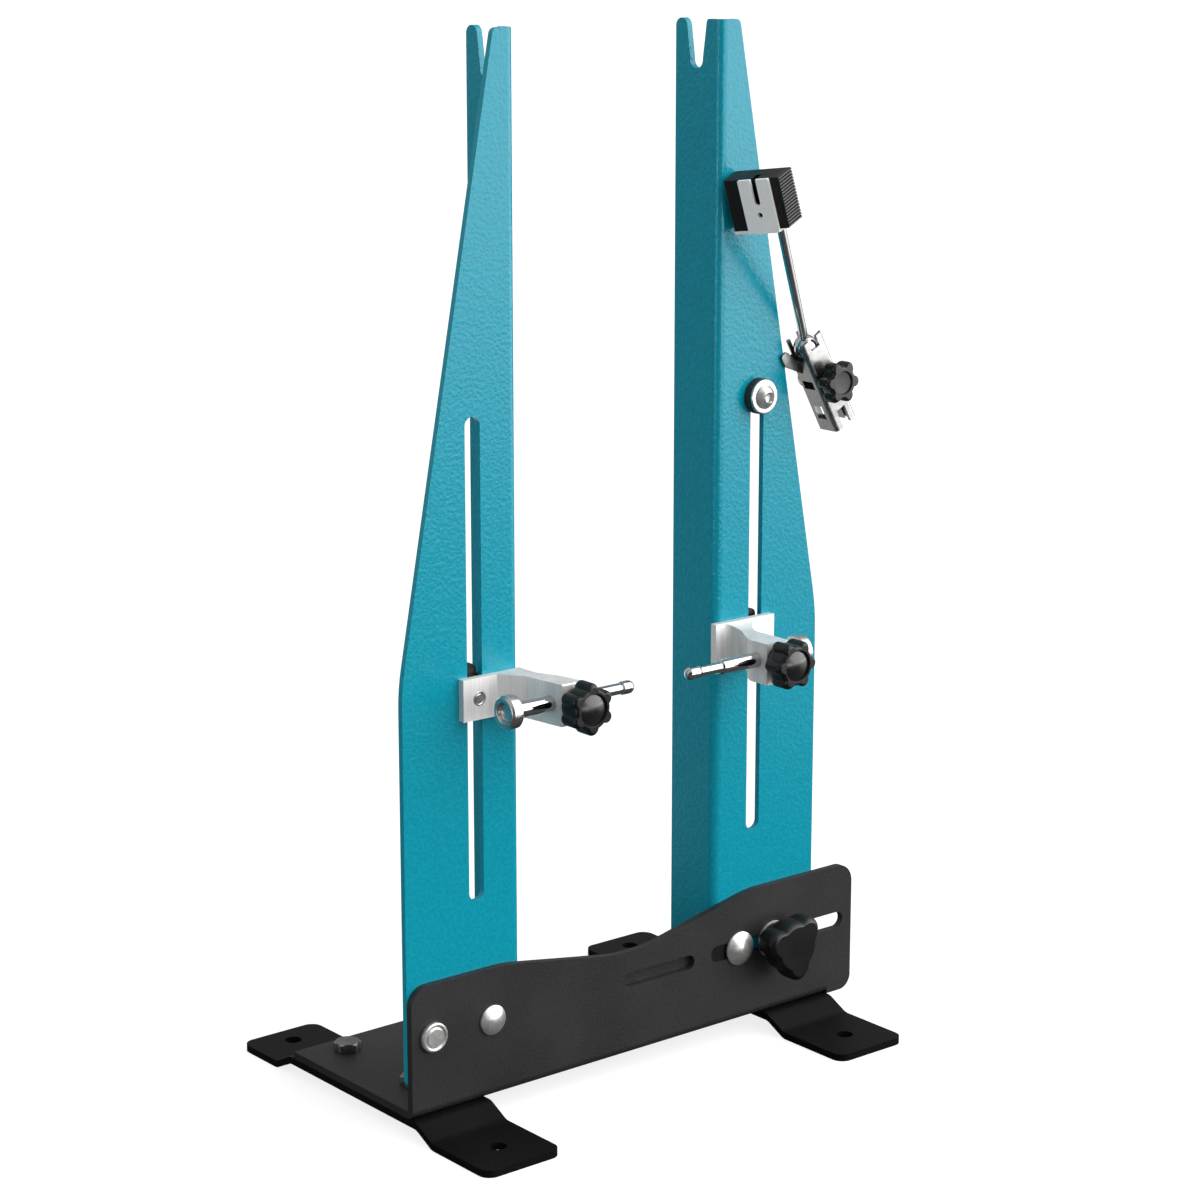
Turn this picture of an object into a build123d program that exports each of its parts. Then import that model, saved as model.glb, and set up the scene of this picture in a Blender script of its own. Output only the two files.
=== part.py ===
from build123d import *
import math
import os

os.makedirs("parts", exist_ok=True)

# Wheel truing stand. X runs along the front plate, Y to the back and Z up.
# The origin is the centre of the four bench holes, on the bench.

# Sheet, bends and clearances
SHEET = 3.0
WEB_SHEET = 2.5
BEND_INSIDE = 1.0
EDGE_EASE = 0.4
RUN_GAP = 0.05
SLIDE_GAP = 0.1
FREE_GAP = 0.3
CUT_OVER = 10.0

# Base: front plate with its flange
PLATE_LEFT_HEIGHT = 53.0
PLATE_VALLEY_HEIGHT = 44.0
PLATE_RIGHT_HEIGHT = 56.0
PLATE_CORNER = 6.0
PLATE_TOP_CORNER = 8.0
PLATE_WAVE_RADIUS = 60.0
WAVE_SHARES = (0.199, 0.433, 0.506, 0.749)
FLANGE_DEPTH = 82.0

# Foot strips
STRIP_WIDTH = 36.0
STRIP_LIFT = 5.0
PLATE_BEYOND_STRIP = 13.5
BENCH_HOLE_SPACING_Y = 140.0
BENCH_HOLE_RADIUS = 3.5
FRONT_HOLE_REACH = 30.0
HOLE_TO_FOOT_END = 17.0
REAR_HOLE_TO_END = 11.0
JOGGLE_LENGTH = 10.0
FRONT_JOGGLE_START = 2.0
REAR_JOGGLE_START = 3.0
JOGGLE_RADIUS = 6.0
FOOT_CORNER = 5.0

# M6 hardware
M6_RADIUS = 3.0
M6_HOLE_RADIUS = 3.2
HEX_FLATS = 10.0
HEX_HEAD_HEIGHT = 4.0
NUT_HEIGHT = 5.0
THIN_NUT_HEIGHT = 3.0
SHANK_SHOW = 1.0
STRIP_BOLT_FRONT = 24.0
STRIP_BOLT_TO_FLANGE_END = 12.0

# Uprights
WEB_WIDTH = 55.0
WEB_TOP_WIDTH = 10.0
UPRIGHT_BOTTOM = 20.5
UPRIGHT_TOP = 419.0
TAPER_START = 178.0
TAPER_RADIUS = 90.0
UPRIGHT_FLANGE = 26.5
TOP_ROUND = 2.6
SLOT_FROM_FOLD = 21.2
SLOT_WIDTH = 7.0
SLOT_BOTTOM = 89.0
SLOT_TOP = 277.5
NOTCH_BACK = 14.2
NOTCH_DEPTH = 19.0
NOTCH_RADIUS = 3.7
NOTCH_MOUTH = 12.0
FRONT_HORN_ROUND = 1.5
REAR_HORN_ROUND = 3.2
HUB_WIDTH = 100.0
PLATE_BEYOND_FOLD = 76.0

# Fixings along the front plate: the left bolts from its left end, the rest and the slots from the right fold
FIXING_HEIGHT = 40.0
FLAT_BOLT_X = 10.0
DOMED_BOLT_X = 38.5
CARRIAGE_FROM_FOLD = 12.0
STUD_FROM_FOLD = 30.4
HEAD_RADIUS = 6.0
HEAD_RISE = 2.2
HEAD_EDGE = 0.8
FLAT_HEAD_HEIGHT = 2.0
FLAT_RING_RADIUS = 4.4
FLAT_RING_DEPTH = 0.5
CARRIAGE_HEAD_RADIUS = 7.2
CARRIAGE_HEAD_RISE = 3.2
LONG_SLOT_START, LONG_SLOT_END = -3.4, 71.0
LONG_SLOT_WIDTH = 7.0
SHORT_SLOT_START, SHORT_SLOT_END = -50.0, -12.5
SHORT_SLOT_WIDTH = 6.0
SLIDE_BLOCK_BEYOND_BOLT = 8.0
SLIDE_BLOCK_SUNK = 0.8
BACKING_MARGIN = 3.5
BACKING_THICKNESS = 1.5

# Clamp knob of the right upright
CLAMP_WASHER_RADIUS = 8.0
CLAMP_WASHER_THICKNESS = 1.2
CLAMP_COLLAR_RADIUS = 7.5
CLAMP_COLLAR_HEIGHT = 4.0
CLAMP_KNOB_REACH = 15.0
CLAMP_KNOB_LOBE = 5.5
CLAMP_KNOB_HUB = 9.9
CLAMP_KNOB_VALLEY = 12.0
CLAMP_KNOB_HEIGHT = 11.0
CLAMP_KNOB_EDGE = 1.5
CLAMP_KNOB_TURN = 41.0
STUD_IN_KNOB = 9.0
CLAMP_INSERT_RADIUS = 5.0
CLAMP_INSERT_LENGTH = 11.0

# Feeler arms
FEELER_HEIGHT = 170.0
ARM_HEIGHT = 16.4
ARM_TAB = 3.0
ARM_THICKNESS = 11.5
ARM_REACH = 31.5
ARM_EASE = 0.5
LEFT_TAB_START = 26.2
LEFT_TAB_END = 42.0
LEFT_ARM_X = 51.0
LEFT_DIAGONAL_END = 12.7
LEFT_DIAGONAL_SHORT = 2.3
LEFT_OUTER_BEND = 10.0
LEFT_OUTER_STEP = 20.0
LEFT_OUTER_STEP_IN = 3.3
LEFT_OUTER_END_IN = 1.1
RIGHT_BASE_START = -2.5
RIGHT_BASE_END = 29.0
RIGHT_ARM_FROM_FOLD = -0.6
RIGHT_NECK_START = 9.9
RIGHT_NECK_REACH = 17.0
RIGHT_NECK_BEND = 12.0
RIGHT_NECK_ROOT = 5.0
RIGHT_FLARE = 11.0
RIGHT_BASE_HEIGHT = 20.4
RIGHT_TOP, RIGHT_TOP_RADIUS = 7.4, 14.0
RIGHT_BOSS_BOTTOM = 9.4
RIGHT_NECK_BOTTOM = 6.2
ROD_FROM_END = 6.4

# Slot runners and their pins
TONGUE_WIDTH = 5.2
TONGUE_ABOVE = 12.5
KEEPER_HEIGHT = 16.0
KEEPER_WIDTH = 13.0
KEEPER_THICKNESS = 3.0
KEEPER_CORNER = 2.0
PIN_RADIUS = 2.9
PIN_TAIL_RADIUS = 2.4
SET_SCREW_RADIUS = 2.2
SET_SCREW_LENGTH = 7.0
SET_SCREW_SHOW = 2.0
SET_SCREW_DROP = 3.6

# Feeler rods
ROD_RADIUS = 3.0
ROD_NOSE_RADIUS = 2.2
ROD_GROOVE_RADIUS = 1.8
ROD_GROOVE = 1.0
TIP_RADIUS = 2.6
TIP_LENGTH = 3.4
ROD_SPAN = 57.5
ROD_NOSE_LENGTH = 15.0
ROD_HEAD_RADIUS = 6.5
ROD_HEAD_THICKNESS = 5.0
ROD_HEAD_EASE = 0.8
ROD_HEAD_DISH = 3.6
ROD_HEAD_DISH_DEPTH = 1.6
LEFT_TIP_FROM_FOLD = 33.0
RIGHT_TIP_FROM_FOLD = 35.0

# Star knobs of the feeler arms
STAR_LOBES = 6
STAR_REACH = 10.2
STAR_LOBE = 2.6
STAR_HUB = 8.4
STAR_VALLEY = 2.2
STAR_HEIGHT = 9.5
STAR_EDGE = 1.2
STAR_COLLAR_RADIUS = 6.5
STAR_COLLAR_HEIGHT = 2.2
STAR_RECESS_RADIUS = 6.2
STAR_RECESS_DEPTH = 1.2
STAR_CAP_RISE = 1.6
M5_RADIUS = 2.5
M5_IN_KNOB = 7.0
M4_RADIUS = 2.0
M4_IN_KNOB = 4.0

# Stop bolt at the top of the right slot
STOP_HEIGHT = 270.5
STOP_HEAD_RADIUS = 4.8
STOP_HEAD_RISE = 3.0
STOP_SOCKET_FLATS = 4.0
STOP_SOCKET_DEPTH = 1.8
STOP_WASHER_RADIUS = 7.0
STOP_WASHER_THICKNESS = 1.4
STOP_RUBBER_RADIUS = 7.2
STOP_RUBBER_THICKNESS = 3.2

# Gauge clamp, measured from the centre of the ball
BALL_X_FROM_FOLD = 45.3
BALL_HEIGHT = 288.2
BALL_RADIUS = 5.0
JAW_ANGLE = 29.0
JAW_SHEET = 1.4
JAW_LENGTH = 42.0
JAW_WIDTH = 12.0
JAW_ABOVE_BALL = 4.5
JAW_INSIDE = 4.6
JAW_NEST = 0.1
JAW_SEAT = 4.3
REAR_JAW_WALL_DEPTH = 8.0
JAW_SLOT = 4.8
JAW_FORK_DEPTH = 8.0
JAW_CORNER = 1.6
JAW_WINDOW_WIDTHS = (6.0, 5.0)
JAW_WINDOW_DROPS = (19.6, 33.0)
JAW_WINDOW_LENGTHS = (3.8, 6.4)
EAR_REACH = 12.6
EAR_TIP_LOW, EAR_TIP_HIGH = -1.5, 3.5
EAR_TIP_WIDTH = 3.6
EAR_ROOT_LOW, EAR_ROOT_HIGH = -9.3, -4.8
EAR_ROUND = 1.2
JAW_SCREW_DROP = 20.2
JAW_SCREW_HEAD = 4.2
JAW_SCREW_HEAD_HEIGHT = 2.6
SMALL_STAR_REACH = 9.0
SMALL_STAR_LOBE = 2.2
SMALL_STAR_HUB = 6.8
SMALL_STAR_VALLEY = 1.8
SMALL_STAR_HEIGHT = 7.0
SMALL_STAR_COLLAR = 4.8
SMALL_STAR_COLLAR_HEIGHT = 1.8
SMALL_STAR_RECESS = 4.6
SMALL_INSERT_RADIUS = 3.4
SMALL_INSERT_LENGTH = 6.0

# Gauge rod and head
ROD_ANGLE_LEFT = 30.0
ROD_ANGLE_FRONT = 18.0
HEAD_ANGLE_LEFT = 17.0
HEAD_ANGLE_FRONT = -1.0
HEAD_TURN = 21.0
GAUGE_ROD_RADIUS = 1.8
GAUGE_ROD_LENGTH = 63.5
GAUGE_ROD_IN_BLOCK = 8.0
GAUGE_LONG = 23.0
GAUGE_THICK = 11.4
GAUGE_TALL = 20.8
GAUGE_NEAR = 5.4
GAUGE_PLATE = 1.2
GAUGE_PLATE_START, GAUGE_PLATE_END = 6.9, 20.4
GAUGE_SLOT = 2.5
GAUGE_SLOT_DEPTH = 10.5
GAUGE_GROOVE = 5.0
GAUGE_PIN_RADIUS = 1.1
GAUGE_PIN_DROP = 14.5
GAUGE_RIBS = 17
GAUGE_GRIP = 1.6
GAUGE_RIB_DEPTH = 0.6
GAUGE_SCREW_RADIUS = 2.6
GAUGE_SCREW_RISE = 1.4
GAUGE_SCREW_PLACE = 10.6

# Places worked out from the sizes above
BEND_OUTSIDE = BEND_INSIDE + SHEET
PLATE_LENGTH = WEB_WIDTH + HUB_WIDTH + PLATE_BEYOND_FOLD
BENCH_HOLE_SPACING_X = PLATE_LENGTH - PLATE_BEYOND_STRIP - STRIP_WIDTH
STRIP_BOLT_REAR = FLANGE_DEPTH - STRIP_BOLT_TO_FLANGE_END
PLATE_LEFT = -(BENCH_HOLE_SPACING_X + STRIP_WIDTH) / 2
PLATE_FRONT = -BENCH_HOLE_SPACING_Y / 2 + FRONT_HOLE_REACH
PLATE_BACK = PLATE_FRONT + SHEET
PLATE_BOTTOM = STRIP_LIFT + SHEET
FLANGE_TOP = PLATE_BOTTOM + SHEET
WEB_FRONT = PLATE_BACK
WEB_BACK = WEB_FRONT + WEB_SHEET
FOLD_LEFT = PLATE_LEFT + WEB_WIDTH
FOLD_RIGHT = FOLD_LEFT + HUB_WIDTH
LEFT_SLOT_X = FOLD_LEFT - SLOT_FROM_FOLD
RIGHT_SLOT_X = FOLD_RIGHT + SLOT_FROM_FOLD
NOTCH_Y = WEB_FRONT + NOTCH_BACK
ARM_BACK = WEB_FRONT - SLIDE_GAP
ARM_FRONT = ARM_BACK - ARM_REACH
ROD_Y = ARM_FRONT + ROD_FROM_END
LEFT_ARM_LOW = PLATE_LEFT + LEFT_ARM_X
RIGHT_ARM_LOW = FOLD_RIGHT + RIGHT_ARM_FROM_FOLD
LEFT_KNOB_X = LEFT_ARM_LOW + ARM_THICKNESS / 2
RIGHT_KNOB_X = RIGHT_ARM_LOW + ARM_THICKNESS / 2
CARRIAGE_X = FOLD_RIGHT + CARRIAGE_FROM_FOLD
STUD_X = FOLD_RIGHT + STUD_FROM_FOLD
BALL_X = FOLD_RIGHT + BALL_X_FROM_FOLD
BALL_Y = WEB_BACK + SLIDE_GAP - JAW_INSIDE
TAPER_RUN = (WEB_WIDTH - WEB_TOP_WIDTH) / (UPRIGHT_TOP - TAPER_START)


def from_front(y):
    """Plane that faces the front: its first axis is X, its second is Z."""
    return Plane(origin=(0, y, 0), x_dir=(1, 0, 0), z_dir=(0, -1, 0))


def from_right(x):
    """Plane that faces right: its first axis is Y, its second is Z."""
    return Plane(origin=(x, 0, 0), x_dir=(0, 1, 0), z_dir=(1, 0, 0))


def outline(*points):
    return make_face(Polyline(*points, close=True))


def bar(start, direction, length, radius):
    """Round bar from start, along direction."""
    seat = Plane(origin=start, z_dir=direction)
    return seat * Cylinder(radius, length, align=(Align.CENTER, Align.CENTER, Align.MIN))


def hex_prism(start, direction, height, flats, turn=0.0):
    seat = Plane(origin=start, z_dir=direction)
    shape = seat * Rot(0, 0, turn) * RegularPolygon(flats / 2, 6, major_radius=False)
    return extrude(shape, amount=height, dir=direction)


def dome(start, direction, radius, rise, edge):
    """Button head: a short cylinder with a spherical cap."""
    profile = Polyline((0, edge + rise), (0, 0), (radius, 0), (radius, edge))
    cap_radius = (radius * radius + rise * rise) / (2 * rise)
    half = math.asin(radius / cap_radius) / 2
    middle = (cap_radius * math.sin(half), edge + rise - cap_radius + cap_radius * math.cos(half))
    cap = ThreePointArc((radius, edge), middle, (0, edge + rise))
    face = make_face(Plane.XZ * (profile + cap))
    seat = Plane(origin=start, z_dir=direction)
    return seat * revolve(face, Axis.Z)


def slot_cut(start, end, centre, width, y, depth):
    """Slot with round ends through a sheet that faces the front."""
    length = end - start
    shape = from_front(y) * Pos((start + end) / 2, centre) * SlotOverall(length, width)
    return extrude(shape, amount=-depth)


def lobed_outline(lobes, reach, lobe, hub, valley, turn=0.0):
    """Round lobes about a hub, blended where they meet it."""
    shape = Circle(hub)
    for index in range(lobes):
        shape += Rot(0, 0, turn + 360 * index / lobes) * Pos(reach - lobe, 0) * Circle(lobe)
    corners = [v for v in shape.vertices() if math.hypot(v.X, v.Y) < reach - lobe / 4]
    return fillet(corners, valley)


def knob(x, back, z, lobes, sizes, turn=0.0, recess=None):
    """Lobed knob whose axis runs to the front. sizes: reach, lobe, hub, valley, height, edge, collar, its height."""
    reach, lobe, hub, valley, height, edge, collar, collar_height = sizes
    seat = from_front(back - collar_height) * Pos(x, z)
    body = extrude(seat * lobed_outline(lobes, reach, lobe, hub, valley, turn), amount=height)
    front = body.faces().sort_by(Axis.Y)[0]
    body = chamfer(front.outer_wire().edges(), edge)
    body += bar((x, back, z), (0, -1, 0), collar_height, collar)
    if recess:
        face = back - collar_height - height
        body -= bar((x, face, z), (0, 1, 0), STAR_RECESS_DEPTH, recess)
    return body


def base_plate():
    """Front plate with a dipped top edge and a flange bent back along its foot."""
    left, right = PLATE_LEFT, PLATE_LEFT + PLATE_LENGTH
    low, bend_top = PLATE_BOTTOM, PLATE_BOTTOM + BEND_OUTSIDE
    flange_end = right - PLATE_BEYOND_STRIP
    fall_start, fall_end, rise_start, rise_end = (left + share * PLATE_LENGTH for share in WAVE_SHARES)
    wall = outline(
        (left, bend_top), (left, low + PLATE_LEFT_HEIGHT), (fall_start, low + PLATE_LEFT_HEIGHT),
        (fall_end, low + PLATE_VALLEY_HEIGHT), (rise_start, low + PLATE_VALLEY_HEIGHT),
        (rise_end, low + PLATE_RIGHT_HEIGHT), (right, low + PLATE_RIGHT_HEIGHT), (right, low),
        (flange_end, low), (flange_end, bend_top),
    )
    wave = [v for v in wall.vertices() if left + EDGE_EASE < v.X < right - EDGE_EASE and v.Y > low + PLATE_VALLEY_HEIGHT / 2]
    wall = fillet(wave, PLATE_WAVE_RADIUS)
    top = [v for v in wall.vertices() if v.Y > low + PLATE_VALLEY_HEIGHT and not left + EDGE_EASE < v.X < right - EDGE_EASE]
    wall = fillet(top, PLATE_TOP_CORNER)
    wall = fillet(wall.vertices().sort_by_distance((right, low))[0], PLATE_CORNER)
    plate = extrude(from_front(PLATE_FRONT) * wall, amount=-SHEET)
    section = outline(
        (PLATE_FRONT, low), (PLATE_FRONT + FLANGE_DEPTH, low), (PLATE_FRONT + FLANGE_DEPTH, low + SHEET),
        (PLATE_BACK, low + SHEET), (PLATE_BACK, bend_top), (PLATE_FRONT, bend_top),
    )
    section = fillet(section.vertices().sort_by_distance((PLATE_BACK, low + SHEET))[0], BEND_INSIDE - EDGE_EASE)
    section = fillet(section.vertices().sort_by_distance((PLATE_FRONT, low))[0], BEND_OUTSIDE - EDGE_EASE)
    plate += extrude(from_right(left) * section, amount=flange_end - left)
    for x in (FLAT_BOLT_X, DOMED_BOLT_X):
        plate -= bar((left + x, PLATE_FRONT - CUT_OVER, FIXING_HEIGHT), (0, 1, 0), 2 * CUT_OVER, M6_HOLE_RADIUS)
    for start, end, width in ((LONG_SLOT_START, LONG_SLOT_END, LONG_SLOT_WIDTH), (SHORT_SLOT_START, SHORT_SLOT_END, SHORT_SLOT_WIDTH)):
        plate -= slot_cut(FOLD_RIGHT + start, FOLD_RIGHT + end, FIXING_HEIGHT, width, PLATE_FRONT - SHEET, 3 * SHEET)
    for x, y in strip_bolt_places():
        plate -= bar((x, y, 0), (0, 0, 1), FLANGE_TOP + CUT_OVER, M6_HOLE_RADIUS)
    return plate


def strip_bolt_places():
    return [(side * BENCH_HOLE_SPACING_X / 2, PLATE_FRONT + back) for side in (-1, 1) for back in (STRIP_BOLT_FRONT, STRIP_BOLT_REAR)]


def foot_strip(side):
    """Strip that carries the flange, with both ends joggled down to the bench."""
    centre = side * BENCH_HOLE_SPACING_X / 2
    front_hole, rear_hole = -BENCH_HOLE_SPACING_Y / 2, BENCH_HOLE_SPACING_Y / 2
    front_end, rear_end = front_hole - HOLE_TO_FOOT_END, rear_hole + REAR_HOLE_TO_END
    front_high = PLATE_FRONT - FRONT_JOGGLE_START
    rear_high = PLATE_FRONT + FLANGE_DEPTH + REAR_JOGGLE_START
    lower = [
        (front_end, 0), (front_high - JOGGLE_LENGTH, 0), (front_high, STRIP_LIFT),
        (rear_high, STRIP_LIFT), (rear_high + JOGGLE_LENGTH, 0), (rear_end, 0),
    ]
    upper = [(y, z + SHEET) for y, z in reversed(lower)]
    face = outline(*lower, *upper)
    bends = [v for v in face.vertices() if front_end + EDGE_EASE < v.X < rear_end - EDGE_EASE]
    face = fillet(bends, JOGGLE_RADIUS)
    strip = extrude(from_right(centre - STRIP_WIDTH / 2) * face, amount=STRIP_WIDTH)
    corners = [e for e in strip.edges().filter_by(Axis.Z) if e.length < SHEET + EDGE_EASE]
    strip = fillet(corners, FOOT_CORNER)
    for y in (front_hole, rear_hole):
        strip -= bar((centre, y, -SHEET), (0, 0, 1), 3 * SHEET, BENCH_HOLE_RADIUS)
    for x, y in strip_bolt_places():
        if x * side > 0:
            strip -= bar((x, y, 0), (0, 0, 1), FLANGE_TOP, M6_HOLE_RADIUS)
    return strip


def foot_bolts():
    bolts = []
    for x, y in strip_bolt_places():
        head = hex_prism((x, y, FLANGE_TOP), (0, 0, 1), HEX_HEAD_HEIGHT, HEX_FLATS)
        tail = STRIP_LIFT - THIN_NUT_HEIGHT
        bolts.append(head + bar((x, y, tail), (0, 0, 1), FLANGE_TOP - tail, M6_RADIUS))
    return bolts


def foot_nuts():
    nuts = []
    for x, y in strip_bolt_places():
        nut = hex_prism((x, y, STRIP_LIFT), (0, 0, -1), THIN_NUT_HEIGHT, HEX_FLATS)
        nuts.append(nut - bar((x, y, 0), (0, 0, 1), STRIP_LIFT + SHEET, M6_RADIUS + RUN_GAP))
    return nuts


def upright(fold, side):
    """Sheet angle: a tapered web, and a flange at its fold with an axle notch. side is -1 for the left."""
    def across(distance):
        return fold + side * distance
    web = outline(
        (across(0), UPRIGHT_BOTTOM), (across(WEB_WIDTH), UPRIGHT_BOTTOM), (across(WEB_WIDTH), TAPER_START),
        (across(WEB_TOP_WIDTH), UPRIGHT_TOP), (across(0), UPRIGHT_TOP),
    )
    knee = web.vertices().sort_by_distance((across(WEB_WIDTH), TAPER_START))[0]
    web = fillet(knee, TAPER_RADIUS)
    tip = web.vertices().sort_by_distance((across(WEB_TOP_WIDTH), UPRIGHT_TOP))[0]
    web = fillet(tip, TOP_ROUND)
    toe = web.vertices().sort_by_distance((across(WEB_WIDTH), UPRIGHT_BOTTOM))[0]
    web = fillet(toe, TOP_ROUND)
    flange = outline(
        (WEB_FRONT, UPRIGHT_BOTTOM), (WEB_FRONT + UPRIGHT_FLANGE, UPRIGHT_BOTTOM),
        (WEB_FRONT + UPRIGHT_FLANGE, UPRIGHT_TOP), (NOTCH_Y + NOTCH_MOUTH / 2, UPRIGHT_TOP),
        (NOTCH_Y + NOTCH_RADIUS, UPRIGHT_TOP - NOTCH_DEPTH + NOTCH_RADIUS),
        (NOTCH_Y + NOTCH_RADIUS, UPRIGHT_TOP - NOTCH_DEPTH), (NOTCH_Y - NOTCH_RADIUS, UPRIGHT_TOP - NOTCH_DEPTH),
        (NOTCH_Y - NOTCH_RADIUS, UPRIGHT_TOP - NOTCH_DEPTH + NOTCH_RADIUS),
        (NOTCH_Y - NOTCH_MOUTH / 2, UPRIGHT_TOP), (WEB_FRONT, UPRIGHT_TOP),
    )
    floor = [v for v in flange.vertices() if abs(v.Y - (UPRIGHT_TOP - NOTCH_DEPTH)) < EDGE_EASE]
    flange = fillet(floor, NOTCH_RADIUS - EDGE_EASE)
    tops = [v for v in flange.vertices() if v.Y > UPRIGHT_TOP - EDGE_EASE and v.X > WEB_FRONT + EDGE_EASE]
    flange = fillet([v for v in tops if v.X < NOTCH_Y], FRONT_HORN_ROUND)
    tops = [v for v in flange.vertices() if v.Y > UPRIGHT_TOP - EDGE_EASE and v.X > NOTCH_Y]
    flange = fillet(tops, REAR_HORN_ROUND)
    start = min(fold, across(WEB_SHEET))
    angle = extrude(from_front(WEB_FRONT) * web, amount=-WEB_SHEET)
    angle += extrude(from_right(start) * flange, amount=WEB_SHEET)
    corner = [e for e in angle.edges().filter_by(Axis.Z) if math.hypot(e.center().X - fold, e.center().Y - WEB_FRONT) < EDGE_EASE]
    angle = fillet(corner, BEND_INSIDE + WEB_SHEET)
    inside = [e for e in angle.edges().filter_by(Axis.Z)
              if math.hypot(e.center().X - across(WEB_SHEET), e.center().Y - WEB_BACK) < EDGE_EASE]
    angle = fillet(inside, BEND_INSIDE)
    slot = from_front(WEB_FRONT - SHEET) * Pos(across(SLOT_FROM_FOLD), (SLOT_BOTTOM + SLOT_TOP) / 2)
    angle -= extrude(slot * SlotOverall(SLOT_TOP - SLOT_BOTTOM, SLOT_WIDTH, rotation=90), amount=-3 * SHEET)
    places = (CARRIAGE_X, STUD_X) if side > 0 else (PLATE_LEFT + FLAT_BOLT_X, PLATE_LEFT + DOMED_BOLT_X)
    for x in places:
        angle -= bar((x, WEB_FRONT - CUT_OVER, FIXING_HEIGHT), (0, 1, 0), 2 * CUT_OVER, M6_HOLE_RADIUS)
    return angle


def fixing_shank(x, start, end):
    return bar((x, start, FIXING_HEIGHT), (0, 1, 0), end - start, M6_RADIUS)


def fixing_nut(x, start):
    nut = hex_prism((x, start, FIXING_HEIGHT), (0, 1, 0), NUT_HEIGHT, HEX_FLATS)
    return nut - bar((x, start - CUT_OVER, FIXING_HEIGHT), (0, 1, 0), 2 * CUT_OVER, M6_RADIUS + RUN_GAP)


def flat_bolt():
    x = PLATE_LEFT + FLAT_BOLT_X
    head = bar((x, PLATE_FRONT, FIXING_HEIGHT), (0, -1, 0), FLAT_HEAD_HEIGHT, HEAD_RADIUS)
    head = chamfer(head.faces().sort_by(Axis.Y)[0].edges(), EDGE_EASE)
    head -= bar((x, PLATE_FRONT - FLAT_HEAD_HEIGHT, FIXING_HEIGHT), (0, 1, 0), FLAT_RING_DEPTH, FLAT_RING_RADIUS)
    return head + fixing_shank(x, PLATE_FRONT, WEB_BACK + NUT_HEIGHT + SHANK_SHOW)


def domed_bolt():
    x = PLATE_LEFT + DOMED_BOLT_X
    head = dome((x, PLATE_FRONT, FIXING_HEIGHT), (0, -1, 0), HEAD_RADIUS, HEAD_RISE, HEAD_EDGE)
    return head + fixing_shank(x, PLATE_FRONT, WEB_BACK + NUT_HEIGHT + SHANK_SHOW)


def left_nuts():
    return [fixing_nut(PLATE_LEFT + x, WEB_BACK) for x in (FLAT_BOLT_X, DOMED_BOLT_X)]


def carriage_bolt():
    face = PLATE_FRONT - SLIDE_GAP
    head = dome((CARRIAGE_X, face, FIXING_HEIGHT), (0, -1, 0), CARRIAGE_HEAD_RADIUS, CARRIAGE_HEAD_RISE, HEAD_EDGE)
    return head + fixing_shank(CARRIAGE_X, face, WEB_BACK + NUT_HEIGHT + SHANK_SHOW)


def carriage_slide_block():
    """Guide that fills the long slot round the carriage bolt and rests on the slot's end."""
    start, end = FOLD_RIGHT + LONG_SLOT_START + SLIDE_GAP, CARRIAGE_X + SLIDE_BLOCK_BEYOND_BOLT
    depth = SHEET - SLIDE_BLOCK_SUNK
    block = slot_cut(start, end, FIXING_HEIGHT, LONG_SLOT_WIDTH - 2 * SLIDE_GAP, PLATE_FRONT + SLIDE_BLOCK_SUNK, depth)
    return block - bar((CARRIAGE_X, PLATE_FRONT, FIXING_HEIGHT), (0, 1, 0), SHEET, M6_HOLE_RADIUS)


def slot_backing_strip():
    """Strip behind the short slot, which closes it from the back."""
    start, end = FOLD_RIGHT + SHORT_SLOT_START - BACKING_MARGIN, FOLD_RIGHT + SHORT_SLOT_END + BACKING_MARGIN
    height = SHORT_SLOT_WIDTH + 2 * BACKING_MARGIN
    strip = Pos((start + end) / 2, PLATE_BACK + BACKING_THICKNESS / 2, FIXING_HEIGHT)
    return strip * Box(end - start, BACKING_THICKNESS, height)


def clamp_stud():
    """Stud of the clamp knob: its hex head bears on the back of the web."""
    head = hex_prism((STUD_X, WEB_BACK, FIXING_HEIGHT), (0, 1, 0), HEX_HEAD_HEIGHT, HEX_FLATS)
    front = clamp_knob_back() - STUD_IN_KNOB
    return head + fixing_shank(STUD_X, front, WEB_BACK)


def clamp_washer():
    face = PLATE_FRONT - SLIDE_GAP
    disc = bar((STUD_X, face, FIXING_HEIGHT), (0, -1, 0), CLAMP_WASHER_THICKNESS, CLAMP_WASHER_RADIUS)
    return disc - bar((STUD_X, face, FIXING_HEIGHT), (0, -1, 0), CLAMP_WASHER_THICKNESS, M6_RADIUS + RUN_GAP)


def clamp_knob_back():
    return PLATE_FRONT - SLIDE_GAP - CLAMP_WASHER_THICKNESS


def clamp_knob():
    sizes = (CLAMP_KNOB_REACH, CLAMP_KNOB_LOBE, CLAMP_KNOB_HUB, CLAMP_KNOB_VALLEY, CLAMP_KNOB_HEIGHT,
             CLAMP_KNOB_EDGE, CLAMP_COLLAR_RADIUS, CLAMP_COLLAR_HEIGHT)
    back = clamp_knob_back()
    body = knob(STUD_X, back, FIXING_HEIGHT, 3, sizes, turn=CLAMP_KNOB_TURN)
    return body - bar((STUD_X, back, FIXING_HEIGHT), (0, -1, 0), CLAMP_INSERT_LENGTH, CLAMP_INSERT_RADIUS)


def clamp_insert():
    """Threaded bush moulded into the clamp knob."""
    back = clamp_knob_back()
    bush = bar((STUD_X, back, FIXING_HEIGHT), (0, -1, 0), CLAMP_INSERT_LENGTH, CLAMP_INSERT_RADIUS)
    return bush - bar((STUD_X, back, FIXING_HEIGHT), (0, -1, 0), STUD_IN_KNOB + FREE_GAP, M6_RADIUS + RUN_GAP)


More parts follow.
